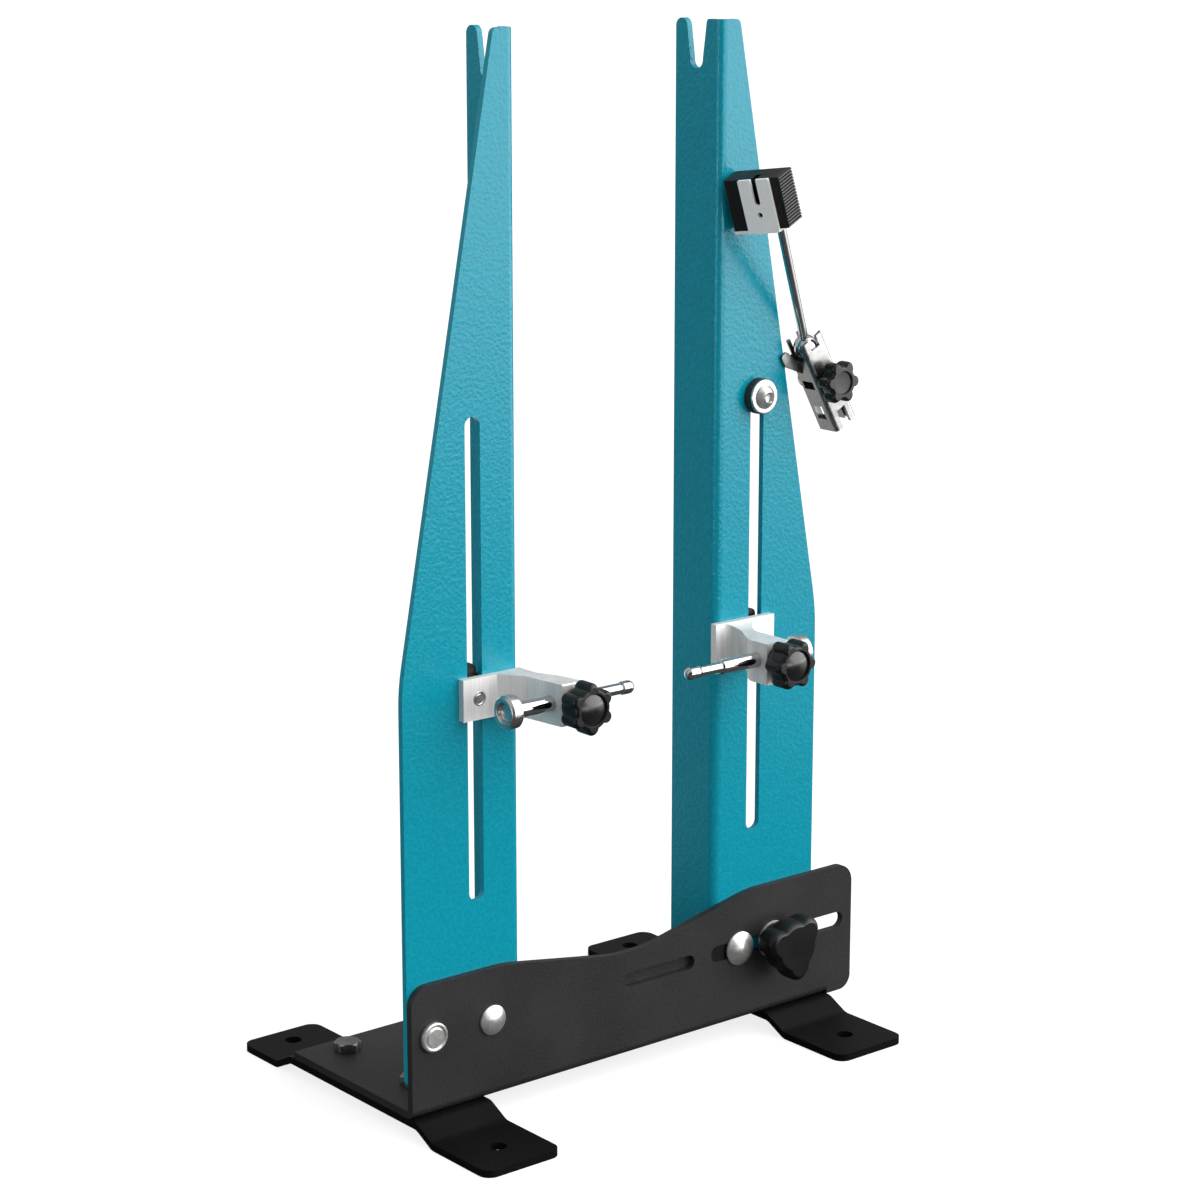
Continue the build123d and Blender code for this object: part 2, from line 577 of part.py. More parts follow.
def arm_bores(arm, knob_x, low):
    """Bore for the feeler rod, threaded bore for the knob's screw."""
    arm -= bar((low - CUT_OVER, ROD_Y, FEELER_HEIGHT), (1, 0, 0), ARM_THICKNESS + 2 * CUT_OVER, ROD_RADIUS + RUN_GAP)
    return arm - bar((knob_x, ARM_FRONT - CUT_OVER, FEELER_HEIGHT), (0, 1, 0), ROD_FROM_END + CUT_OVER, M5_RADIUS + RUN_GAP)


def left_arm():
    """Angular arm: front tab, diagonal step, then forward to the knob, a little wider at its end."""
    tab_face = ARM_BACK - ARM_TAB
    high = LEFT_ARM_LOW + ARM_THICKNESS
    plan = outline(
        (PLATE_LEFT + LEFT_TAB_START, ARM_BACK), (PLATE_LEFT + LEFT_TAB_START, tab_face),
        (PLATE_LEFT + LEFT_TAB_END, tab_face), (LEFT_ARM_LOW - LEFT_DIAGONAL_SHORT, ARM_BACK - LEFT_DIAGONAL_END),
        (LEFT_ARM_LOW, ARM_FRONT), (high - LEFT_OUTER_END_IN, ARM_FRONT),
        (high - LEFT_OUTER_STEP_IN, ARM_BACK - LEFT_OUTER_STEP), (FOLD_LEFT, ARM_BACK - LEFT_OUTER_BEND),
        (FOLD_LEFT, ARM_BACK),
    )
    arm = extrude(Pos(0, 0, FEELER_HEIGHT - ARM_HEIGHT / 2) * plan, amount=ARM_HEIGHT)
    arm = chamfer(arm.faces().sort_by(Axis.Y)[0].edges(), ARM_EASE)
    arm = arm_bores(arm, LEFT_KNOB_X, LEFT_ARM_LOW)
    arm -= bar((LEFT_SLOT_X, ARM_BACK - CUT_OVER, FEELER_HEIGHT), (0, 1, 0), 2 * CUT_OVER, PIN_RADIUS + RUN_GAP)
    x, y, z = set_screw_place()
    return arm - bar((x - SET_SCREW_LENGTH, y, z), (1, 0, 0), SET_SCREW_LENGTH + CUT_OVER, SET_SCREW_RADIUS + RUN_GAP)


def set_screw_place():
    """Where the set screw leaves the side of the arm next to the web."""
    return FOLD_LEFT, ARM_BACK - ARM_TAB, FEELER_HEIGHT + ARM_HEIGHT / 2 - SET_SCREW_DROP


def left_set_screw():
    x, y, z = set_screw_place()
    return bar((x + SET_SCREW_SHOW - SET_SCREW_LENGTH, y, z), (1, 0, 0), SET_SCREW_LENGTH, SET_SCREW_RADIUS)


def right_arm_side():
    """The right arm seen from its side: the top sweeps down from the base, and the boss hangs under the rod."""
    tab_face = ARM_BACK - ARM_TAB
    boss_back = ARM_FRONT + 2 * ROD_FROM_END
    top, half = FEELER_HEIGHT + RIGHT_TOP, RIGHT_BASE_HEIGHT / 2
    rise = half - RIGHT_TOP
    sweep = math.acos(1 - rise / RIGHT_TOP_RADIUS)
    sweep_start = tab_face - RIGHT_TOP_RADIUS * math.sin(sweep)
    middle = (sweep_start + RIGHT_TOP_RADIUS * math.sin(sweep / 2), top + RIGHT_TOP_RADIUS * (1 - math.cos(sweep / 2)))
    boss_low, neck_low = FEELER_HEIGHT - RIGHT_BOSS_BOTTOM, FEELER_HEIGHT - RIGHT_NECK_BOTTOM
    edges = Polyline(
        (sweep_start, top), (ARM_FRONT, top), (ARM_FRONT, boss_low), (boss_back, boss_low), (boss_back, neck_low),
        (tab_face, neck_low), (tab_face, FEELER_HEIGHT - half), (ARM_BACK, FEELER_HEIGHT - half),
        (ARM_BACK, FEELER_HEIGHT + half), (tab_face, FEELER_HEIGHT + half),
    )
    side = make_face(edges + ThreePointArc((sweep_start, top), middle, (tab_face, FEELER_HEIGHT + half)))
    side = fillet(side.vertices().sort_by_distance((boss_back, boss_low))[0], RIGHT_BOSS_BOTTOM - RIGHT_NECK_BOTTOM - EDGE_EASE)
    return side


def right_arm():
    """Curved arm: from its base it bends inwards, then runs forward, with a round boss under the rod."""
    start, end = FOLD_RIGHT + RIGHT_BASE_START, FOLD_RIGHT + RIGHT_BASE_END
    tab_face = ARM_BACK - ARM_TAB
    low, high = RIGHT_ARM_LOW, RIGHT_ARM_LOW + ARM_THICKNESS
    root, bend = (FOLD_RIGHT + RIGHT_NECK_START, tab_face), (low, tab_face - RIGHT_NECK_REACH)
    plan = outline(
        (start, ARM_BACK), (start, tab_face), root, bend, (low, ARM_FRONT),
        (high, ARM_FRONT), (high, tab_face), (end, tab_face), (end, ARM_BACK),
    )
    for corner, radius in ((root, RIGHT_NECK_ROOT), (bend, RIGHT_NECK_BEND), ((high, tab_face), RIGHT_FLARE)):
        plan = fillet(plan.vertices().sort_by_distance(corner)[0], radius)
    arm = extrude(Pos(0, 0, FEELER_HEIGHT - RIGHT_BASE_HEIGHT / 2) * plan, amount=RIGHT_BASE_HEIGHT)
    arm &= extrude(from_right(start) * right_arm_side(), amount=end - start)
    arm = arm_bores(arm, RIGHT_KNOB_X, low)
    return arm - bar((RIGHT_SLOT_X, ARM_BACK - CUT_OVER, FEELER_HEIGHT), (0, 1, 0), 2 * CUT_OVER, PIN_RADIUS + RUN_GAP)


def runner(x):
    """Black runner: a key in the slot on a wider keeper behind the web, with a round tongue above."""
    keeper_face = WEB_BACK + SLIDE_GAP
    key = from_front(ARM_BACK) * Pos(x, FEELER_HEIGHT) * RectangleRounded(SLOT_WIDTH - 2 * SLIDE_GAP, KEEPER_HEIGHT, KEEPER_CORNER)
    body = extrude(key, amount=-(keeper_face - ARM_BACK))
    behind = from_front(keeper_face) * Pos(x, FEELER_HEIGHT)
    body += extrude(behind * RectangleRounded(KEEPER_WIDTH, KEEPER_HEIGHT, KEEPER_CORNER), amount=-KEEPER_THICKNESS)
    tongue = Pos(0, TONGUE_ABOVE / 2) * SlotOverall(TONGUE_ABOVE, TONGUE_WIDTH, rotation=90)
    body += extrude(behind * tongue, amount=-KEEPER_THICKNESS)
    return body - bar((x, ARM_BACK - CUT_OVER, FEELER_HEIGHT), (0, 1, 0), 3 * CUT_OVER, PIN_TAIL_RADIUS + RUN_GAP)


def runner_pin(x):
    """Pin through the arm and its runner, with its face flush in the arm."""
    face = ARM_BACK - ARM_TAB
    pin = bar((x, face, FEELER_HEIGHT), (0, 1, 0), ARM_TAB, PIN_RADIUS)
    return pin + bar((x, ARM_BACK, FEELER_HEIGHT), (0, 1, 0), WEB_BACK + KEEPER_THICKNESS + SLIDE_GAP - ARM_BACK, PIN_TAIL_RADIUS)


def feeler_rod(tip, side):
    """Turned rod: round tip, groove, nose, then the full diameter up to its head. side points from head to tip."""
    nose_end = tip - side * ROD_NOSE_LENGTH
    head = tip - side * (ROD_SPAN - ROD_HEAD_THICKNESS / 2)
    heading = (-side, 0, 0)
    rod = Pos(tip, ROD_Y, FEELER_HEIGHT) * Sphere(TIP_RADIUS)
    rod += bar((tip, ROD_Y, FEELER_HEIGHT), heading, TIP_LENGTH, TIP_RADIUS)
    rod += bar((tip, ROD_Y, FEELER_HEIGHT), heading, TIP_LENGTH + ROD_GROOVE, ROD_GROOVE_RADIUS)
    nose = tip - side * (TIP_LENGTH + ROD_GROOVE)
    rod += bar((nose, ROD_Y, FEELER_HEIGHT), heading, abs(nose_end - nose), ROD_NOSE_RADIUS)
    shaft = bar((nose_end, ROD_Y, FEELER_HEIGHT), heading, abs(head - nose_end), ROD_RADIUS)
    step = shaft.faces().sort_by(Axis.X)[-1 if side > 0 else 0].edges()
    return rod + chamfer(step, EDGE_EASE)


def feeler_head(tip, side):
    """Round head on the rod's outer end, dished in the middle."""
    near = tip - side * (ROD_SPAN - ROD_HEAD_THICKNESS / 2)
    far = near - side * ROD_HEAD_THICKNESS
    head = bar((near, ROD_Y, FEELER_HEIGHT), (-side, 0, 0), ROD_HEAD_THICKNESS, ROD_HEAD_RADIUS)
    head = chamfer(head.edges().filter_by(GeomType.CIRCLE), ROD_HEAD_EASE)
    return head - bar((far, ROD_Y, FEELER_HEIGHT), (side, 0, 0), ROD_HEAD_DISH_DEPTH, ROD_HEAD_DISH)


def star_knob(x, turn):
    sizes = (STAR_REACH, STAR_LOBE, STAR_HUB, STAR_VALLEY, STAR_HEIGHT, STAR_EDGE, STAR_COLLAR_RADIUS, STAR_COLLAR_HEIGHT)
    back = ARM_FRONT - FREE_GAP
    body = knob(x, back, FEELER_HEIGHT, STAR_LOBES, sizes, turn=turn, recess=STAR_RECESS_RADIUS)
    return body - bar((x, back, FEELER_HEIGHT), (0, -1, 0), M5_IN_KNOB, M5_RADIUS)


def star_cap(x):
    """Domed cap in the front of the knob."""
    face = ARM_FRONT - FREE_GAP - STAR_COLLAR_HEIGHT - STAR_HEIGHT + STAR_RECESS_DEPTH
    return dome((x, face, FEELER_HEIGHT), (0, -1, 0), STAR_RECESS_RADIUS - SLIDE_GAP, STAR_CAP_RISE, STAR_RECESS_DEPTH / 2)


def star_screw(x):
    """Screw of the knob, whose end presses on the feeler rod."""
    start = ARM_FRONT - FREE_GAP - M5_IN_KNOB
    return bar((x, start, FEELER_HEIGHT), (0, 1, 0), ROD_Y - ROD_RADIUS - FREE_GAP - start, M5_RADIUS)


def stop_stack():
    """Faces of the stop's pieces, from the web to the front."""
    rubber = WEB_FRONT
    washer = rubber - STOP_RUBBER_THICKNESS
    head = washer - STOP_WASHER_THICKNESS
    return rubber, washer, head


def stop_bolt():
    rubber, washer, head = stop_stack()
    bolt = dome((RIGHT_SLOT_X, head, STOP_HEIGHT), (0, -1, 0), STOP_HEAD_RADIUS, STOP_HEAD_RISE, HEAD_EDGE)
    top = head - HEAD_EDGE - STOP_HEAD_RISE
    bolt -= hex_prism((RIGHT_SLOT_X, top, STOP_HEIGHT), (0, 1, 0), STOP_SOCKET_DEPTH, STOP_SOCKET_FLATS)
    return bolt + bar((RIGHT_SLOT_X, head, STOP_HEIGHT), (0, 1, 0), WEB_BACK + NUT_HEIGHT + SHANK_SHOW - head, M6_RADIUS)


def stop_ring(face, thickness, radius):
    ring = bar((RIGHT_SLOT_X, face, STOP_HEIGHT), (0, -1, 0), thickness, radius)
    return ring - bar((RIGHT_SLOT_X, face, STOP_HEIGHT), (0, -1, 0), thickness, M6_RADIUS + RUN_GAP)


def stop_nut():
    nut = hex_prism((RIGHT_SLOT_X, WEB_BACK, STOP_HEIGHT), (0, 1, 0), NUT_HEIGHT, HEX_FLATS)
    return nut - bar((RIGHT_SLOT_X, WEB_BACK, STOP_HEIGHT), (0, 1, 0), NUT_HEIGHT, M6_RADIUS + RUN_GAP)


# The gauge clamp is drawn about the ball: Z along the jaws, Y from front to back.
CLAMP_PLACE = Location((BALL_X, BALL_Y, BALL_HEIGHT), (0, -JAW_ANGLE, 0))
JAW_LOW = JAW_ABOVE_BALL - JAW_LENGTH


def jaw(face, wall_end, half_width):
    """Stamped channel along Z: its base sheet starts at face, and its two walls run to wall_end."""
    toward = 1 if wall_end > face else -1
    inner = half_width - JAW_SHEET
    floor = face + toward * JAW_SHEET
    section = outline(
        (-half_width, face), (half_width, face), (half_width, wall_end), (inner, wall_end),
        (inner, floor), (-inner, floor), (-inner, wall_end), (-half_width, wall_end),
    )
    folds = [v for v in section.vertices() if abs(v.Y - face) < EDGE_EASE]
    section = fillet(folds, JAW_CORNER)
    return extrude(Pos(0, 0, JAW_LOW) * section, amount=JAW_LENGTH)


def jaw_cuts(body):
    """Room for the ball and its rod, the forks at both ends, the windows and the screw."""
    reach = JAW_WIDTH + CUT_OVER
    for drop, width, length in zip(JAW_WINDOW_DROPS, JAW_WINDOW_WIDTHS, JAW_WINDOW_LENGTHS):
        body -= Pos(0, 0, JAW_ABOVE_BALL - drop) * Box(reach, width, length)
    body -= Pos(0, 0, JAW_LOW) * Box(JAW_SLOT, reach, 2 * JAW_FORK_DEPTH)
    above = Pos(0, 0, CUT_OVER / 2)
    body -= above * Box(JAW_SLOT, reach, CUT_OVER)
    body -= above * Box(reach, 2 * JAW_SEAT, CUT_OVER)
    body -= Rot(0, 90, 0) * Cylinder(JAW_SEAT, reach)
    body -= Sphere(BALL_RADIUS + JAW_NEST)
    return body - bar((0, -CUT_OVER, JAW_ABOVE_BALL - JAW_SCREW_DROP), (0, 1, 0), 2 * CUT_OVER, M4_RADIUS + SLIDE_GAP)


def ear(y, half_width):
    """Tongue from the left wall that reaches over the edge of the web, as a sheet that starts at y."""
    wall = -half_width
    shape = outline(
        (wall + JAW_SHEET, EAR_ROOT_LOW), (wall, EAR_ROOT_LOW), (-EAR_REACH, EAR_TIP_LOW), (-EAR_REACH, EAR_TIP_HIGH),
        (EAR_TIP_WIDTH - EAR_REACH, EAR_TIP_HIGH), (wall, EAR_ROOT_HIGH), (wall + JAW_SHEET, EAR_ROOT_HIGH),
    )
    tips = [v for v in shape.vertices() if v.Y > EAR_TIP_LOW - EDGE_EASE]
    return extrude(from_front(y) * fillet(tips, EAR_ROUND), amount=-JAW_SHEET)


def front_jaw():
    outside = -JAW_INSIDE - JAW_SHEET
    ear_back = WEB_FRONT - SLIDE_GAP - BALL_Y
    body = jaw(outside, JAW_SEAT - SLIDE_GAP, JAW_WIDTH / 2)
    return CLAMP_PLACE * (jaw_cuts(body) + ear(ear_back - JAW_SHEET, JAW_WIDTH / 2))


def rear_jaw():
    outside = JAW_INSIDE + JAW_SHEET
    half = JAW_WIDTH / 2 - JAW_SHEET - JAW_NEST
    body = jaw(outside, outside - REAR_JAW_WALL_DEPTH, half)
    return CLAMP_PLACE * (jaw_cuts(body) + ear(JAW_INSIDE, half))


def jaw_screw():
    """Screw through both jaws: round head behind, the knob in front."""
    z = JAW_ABOVE_BALL - JAW_SCREW_DROP
    back = JAW_INSIDE + JAW_SHEET
    head = bar((0, back, z), (0, 1, 0), JAW_SCREW_HEAD_HEIGHT, JAW_SCREW_HEAD)
    head = chamfer(head.faces().sort_by(Axis.Y)[-1].edges(), EDGE_EASE)
    start = -back - M4_IN_KNOB
    return CLAMP_PLACE * (head + bar((0, start, z), (0, 1, 0), back - start, M4_RADIUS))


def small_star_knob():
    z = JAW_ABOVE_BALL - JAW_SCREW_DROP
    back = -JAW_INSIDE - JAW_SHEET - SLIDE_GAP
    sizes = (SMALL_STAR_REACH, SMALL_STAR_LOBE, SMALL_STAR_HUB, SMALL_STAR_VALLEY, SMALL_STAR_HEIGHT,
             STAR_EDGE, SMALL_STAR_COLLAR, SMALL_STAR_COLLAR_HEIGHT)
    body = knob(0, back, z, STAR_LOBES, sizes, recess=SMALL_STAR_RECESS)
    return CLAMP_PLACE * (body - bar((0, back, z), (0, -1, 0), SMALL_INSERT_LENGTH, SMALL_INSERT_RADIUS))


def small_insert():
    """Threaded bush moulded into the gauge's knob."""
    z = JAW_ABOVE_BALL - JAW_SCREW_DROP
    back = -JAW_INSIDE - JAW_SHEET - SLIDE_GAP
    bush = bar((0, back, z), (0, -1, 0), SMALL_INSERT_LENGTH, SMALL_INSERT_RADIUS)
    return CLAMP_PLACE * (bush - bar((0, back, z), (0, -1, 0), SMALL_INSERT_LENGTH - SHEET / 2, M4_RADIUS + RUN_GAP))


def leaning(to_left, to_front):
    """Direction that leans from the vertical by the two angles."""
    return Vector(-math.tan(math.radians(to_left)), -math.tan(math.radians(to_front)), 1).normalized()


ROD_WAY = leaning(ROD_ANGLE_LEFT, ROD_ANGLE_FRONT)
BALL_PLACE = Plane(origin=(BALL_X, BALL_Y, BALL_HEIGHT), z_dir=ROD_WAY)


def head_plane():
    """Foot of the gauge head, where the rod enters it."""
    upright_way = leaning(HEAD_ANGLE_LEFT, HEAD_ANGLE_FRONT)
    turn = math.radians(HEAD_TURN)
    long_way = Vector(math.sin(turn), -math.cos(turn), 0)
    long_way = (long_way - upright_way * long_way.dot(upright_way)).normalized()
    start = Vector(BALL_X, BALL_Y, BALL_HEIGHT) + ROD_WAY * GAUGE_ROD_LENGTH
    return Plane(origin=start, x_dir=long_way, z_dir=upright_way)


HEAD_PLACE = head_plane()


def rod_bore(radius):
    """The rod's line through the head, drawn in the head's place."""
    return BALL_PLACE * bar((0, 0, 0), (0, 0, 1), GAUGE_ROD_LENGTH + GAUGE_ROD_IN_BLOCK, radius)


def gauge_ball():
    return BALL_PLACE * Sphere(BALL_RADIUS)


def gauge_rod():
    """Rod with its lower end seated on the ball."""
    return rod_bore(GAUGE_ROD_RADIUS) - BALL_PLACE * Sphere(BALL_RADIUS + RUN_GAP)


# The gauge head is drawn at its foot: X along the block to its grip, Y away from the slotted plate.
def gauge_block():
    far, near = GAUGE_NEAR - GAUGE_LONG, GAUGE_NEAR
    body = Pos((far + near) / 2, 0, GAUGE_TALL / 2) * Box(GAUGE_LONG, GAUGE_THICK, GAUGE_TALL)
    body = chamfer(body.edges().filter_by(Axis.Z), EDGE_EASE)
    slot_x = far + (GAUGE_PLATE_START + GAUGE_PLATE_END) / 2
    body -= Pos(slot_x, -GAUGE_THICK / 2, GAUGE_TALL) * Box(GAUGE_SLOT, 2 * GAUGE_GROOVE, 2 * GAUGE_SLOT_DEPTH)
    return HEAD_PLACE * body - rod_bore(GAUGE_ROD_RADIUS + RUN_GAP)


def gauge_plate():
    """Bright plate: slotted face on the block, and a leg bent under it."""
    far = GAUGE_NEAR - GAUGE_LONG
    start, end = far + GAUGE_PLATE_START, far + GAUGE_PLATE_END
    face_y = -GAUGE_THICK / 2 - GAUGE_PLATE
    shape = Pos((start + end) / 2, (GAUGE_TALL - GAUGE_PLATE) / 2) * RectangleRounded(end - start, GAUGE_TALL + GAUGE_PLATE, EDGE_EASE)
    body = extrude(from_front(face_y) * shape, amount=-GAUGE_PLATE)
    slot_x = (start + end) / 2
    slot = from_front(face_y - GAUGE_PLATE) * Pos(slot_x, GAUGE_TALL) * SlotOverall(2 * GAUGE_SLOT_DEPTH, GAUGE_SLOT, rotation=90)
    body -= extrude(slot, amount=-3 * GAUGE_PLATE)
    body -= bar((slot_x, face_y, GAUGE_TALL - GAUGE_PIN_DROP), (0, 1, 0), GAUGE_PLATE, GAUGE_PIN_RADIUS)
    leg = Pos((far + end) / 2, 0, -GAUGE_PLATE / 2) * Box(end - far, GAUGE_THICK, GAUGE_PLATE)
    return HEAD_PLACE * (body + leg) - rod_bore(GAUGE_ROD_RADIUS + FREE_GAP)


def gauge_grip():
    """Ribbed end: a comb of ridges across the block's near end."""
    pitch = GAUGE_TALL / GAUGE_RIBS
    top = GAUGE_NEAR + GAUGE_GRIP
    points = [(GAUGE_NEAR, 0)]
    for index in range(GAUGE_RIBS):
        low = index * pitch
        points += [(top - GAUGE_RIB_DEPTH, low), (top, low + pitch / 4), (top, low + pitch * 3 / 4)]
    points += [(top - GAUGE_RIB_DEPTH, GAUGE_TALL), (GAUGE_NEAR, GAUGE_TALL)]
    body = extrude(from_front(-GAUGE_THICK / 2) * outline(*points), amount=-GAUGE_THICK)
    return HEAD_PLACE * body


def gauge_screw():
    x = GAUGE_NEAR - GAUGE_LONG + GAUGE_SCREW_PLACE
    head = dome((x, 0, -GAUGE_PLATE), (0, 0, -1), GAUGE_SCREW_RADIUS, GAUGE_SCREW_RISE, EDGE_EASE)
    return HEAD_PLACE * head


def save(name, shape):
    solids = shape if isinstance(shape, list) else [shape]
    solids = [solid for piece in solids for solid in piece.solids()]
    export_step(Compound(children=solids), f"parts/{name}.step")
    print(name, len(solids), round(sum(solid.volume for solid in solids), 1))


NODES = {
    "base_plate": base_plate(),
    "left_foot_strip": foot_strip(-1),
    "right_foot_strip": foot_strip(1),
    "foot_bolts": foot_bolts(),
    "foot_nuts": foot_nuts(),
    "left_upright": upright(FOLD_LEFT, -1),
    "left_flat_bolt": flat_bolt(),
    "left_domed_bolt": domed_bolt(),
    "left_bolt_nuts": left_nuts(),
    "right_upright": upright(FOLD_RIGHT, 1),
    "carriage_bolt": carriage_bolt(),
    "carriage_bolt_nut": fixing_nut(CARRIAGE_X, WEB_BACK),
    "carriage_slide_block": carriage_slide_block(),
    "slot_backing_strip": slot_backing_strip(),
    "clamp_stud": clamp_stud(),
    "clamp_washer": clamp_washer(),
    "clamp_knob": clamp_knob(),
    "clamp_knob_insert": clamp_insert(),
    "stop_bolt": stop_bolt(),
    "stop_washer": stop_ring(stop_stack()[1], STOP_WASHER_THICKNESS, STOP_WASHER_RADIUS),
    "stop_rubber": stop_ring(stop_stack()[0], STOP_RUBBER_THICKNESS, STOP_RUBBER_RADIUS),
    "stop_nut": stop_nut(),
    "left_feeler_arm": left_arm(),
    "left_set_screw": left_set_screw(),
    "right_feeler_arm": right_arm(),
    "gauge_front_jaw": front_jaw(),
    "gauge_rear_jaw": rear_jaw(),
    "gauge_jaw_screw": jaw_screw(),
    "gauge_clamp_knob": small_star_knob(),
    "gauge_knob_insert": small_insert(),
    "gauge_ball": gauge_ball(),
    "gauge_rod": gauge_rod(),
    "gauge_block": gauge_block(),
    "gauge_plate": gauge_plate(),
    "gauge_grip": gauge_grip(),
    "gauge_screw": gauge_screw(),
}
for side_name, slot_x, knob_x, tip_x, side_sign, knob_turn in (
        ("left", LEFT_SLOT_X, LEFT_KNOB_X, FOLD_LEFT + LEFT_TIP_FROM_FOLD, 1, 30.0),
        ("right", RIGHT_SLOT_X, RIGHT_KNOB_X, FOLD_RIGHT - RIGHT_TIP_FROM_FOLD, -1, 0.0)):
    NODES[side_name + "_slot_runner"] = runner(slot_x)
    NODES[side_name + "_runner_pin"] = runner_pin(slot_x)
    NODES[side_name + "_feeler_rod"] = feeler_rod(tip_x, side_sign)
    NODES[side_name + "_feeler_head"] = feeler_head(tip_x, side_sign)
    NODES[side_name + "_star_knob"] = star_knob(knob_x, knob_turn)
    NODES[side_name + "_star_cap"] = star_cap(knob_x)
    NODES[side_name + "_star_screw"] = star_screw(knob_x)

for node_name, node_shape in NODES.items():
    save(node_name, node_shape)
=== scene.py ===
# %% [markdown]
# # A wheel truing stand, dressed for its picture
#
# The stand is a folded black base with two painted sheet uprights. Two metal arms carry feeler
# rods, and a small gauge hangs on the edge of the right upright. The solids arrive with their
# places already right, so this lesson only adds a camera, light, finishes, and finer surfaces
# for the turned and moulded pieces.

# %% Load the stand
import math
import bpy
import numpy as np
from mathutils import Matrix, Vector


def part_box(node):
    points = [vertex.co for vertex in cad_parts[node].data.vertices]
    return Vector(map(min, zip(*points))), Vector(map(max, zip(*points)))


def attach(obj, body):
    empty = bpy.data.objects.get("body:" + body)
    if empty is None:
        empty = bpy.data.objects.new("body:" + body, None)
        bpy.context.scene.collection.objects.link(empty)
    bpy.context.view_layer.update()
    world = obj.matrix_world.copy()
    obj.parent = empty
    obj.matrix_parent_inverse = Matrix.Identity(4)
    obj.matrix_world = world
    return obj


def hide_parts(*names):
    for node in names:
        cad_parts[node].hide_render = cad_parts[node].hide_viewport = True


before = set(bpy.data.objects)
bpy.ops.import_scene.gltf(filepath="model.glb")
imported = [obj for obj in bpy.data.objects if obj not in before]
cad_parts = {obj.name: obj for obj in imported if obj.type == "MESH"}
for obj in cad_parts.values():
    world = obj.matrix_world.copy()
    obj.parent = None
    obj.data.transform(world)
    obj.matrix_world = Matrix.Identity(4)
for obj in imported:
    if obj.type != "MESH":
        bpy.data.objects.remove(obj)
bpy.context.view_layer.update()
MM = 0.001
print("pieces from the stand:", len(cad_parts))


# %% [markdown]
# ## Where the picture is taken from
#
# A camera has a place, a heading, a tilt and a lens. All four were worked out from the edges of
# the uprights, which are known to be upright and parallel. The heading turns it to the right of
# straight ahead, and the tilt looks a little down on the base.

# %% Camera
CAMERA_PLACE = (-733.7 * MM, -920.0 * MM, 468.2 * MM)
CAMERA_HEADING, CAMERA_TILT = math.radians(-39.19), math.radians(13.21)
CAMERA_LENS, SENSOR_WIDTH = 90.303, 36.0
NEAREST_SEEN, FARTHEST_SEEN = 0.05, 200.0

camera_data = bpy.data.cameras.new("picture_camera")
camera_data.sensor_width = SENSOR_WIDTH
camera_data.lens = CAMERA_LENS
camera_data.clip_start, camera_data.clip_end = NEAREST_SEEN, FARTHEST_SEEN
camera = bpy.data.objects.new("picture_camera", camera_data)
camera.location = CAMERA_PLACE
camera.rotation_euler = (math.pi / 2 - CAMERA_TILT, 0.0, CAMERA_HEADING)
bpy.context.scene.collection.objects.link(camera)
bpy.context.scene.camera = camera
print("camera lens in mm:", camera_data.lens)


# %% [markdown]
# ## One small language for finishes
#
# Shader nodes can be wired by hand, but long chains are hard to read. Here a socket is wrapped
# in a small class, so that `1 - dents * 0.3` adds the Math nodes by itself. Everything that is
# not arithmetic comes from one method, which takes a node's type, its settings and its inputs.

# %% Sockets that can be added and multiplied
class Signal:
    """An output of a shader node. Arithmetic on it adds Math nodes to the same finish."""

    def __init__(self, finish, socket):
        self.finish, self.socket = finish, socket

    def maths(self, operation, *values):
        sockets = dict(enumerate(values))
        return self.finish.node("ShaderNodeMath", {"operation": operation}, sockets)

    def __add__(self, other):
        return self.maths("ADD", self, other)

    def __sub__(self, other):
        return self.maths("SUBTRACT", self, other)

    def __rsub__(self, other):
        return self.maths("SUBTRACT", other, self)

    def __mul__(self, other):
        return self.maths("MULTIPLY", self, other)

    __radd__ = __add__

    def between(self, low, high):
        """0 below low, 1 above high, and a smooth step from one to the other."""
        values = {"Value": self, "From Min": low, "From Max": high}
        return self.finish.node("ShaderNodeMapRange", {"interpolation_type": "SMOOTHSTEP"}, values)


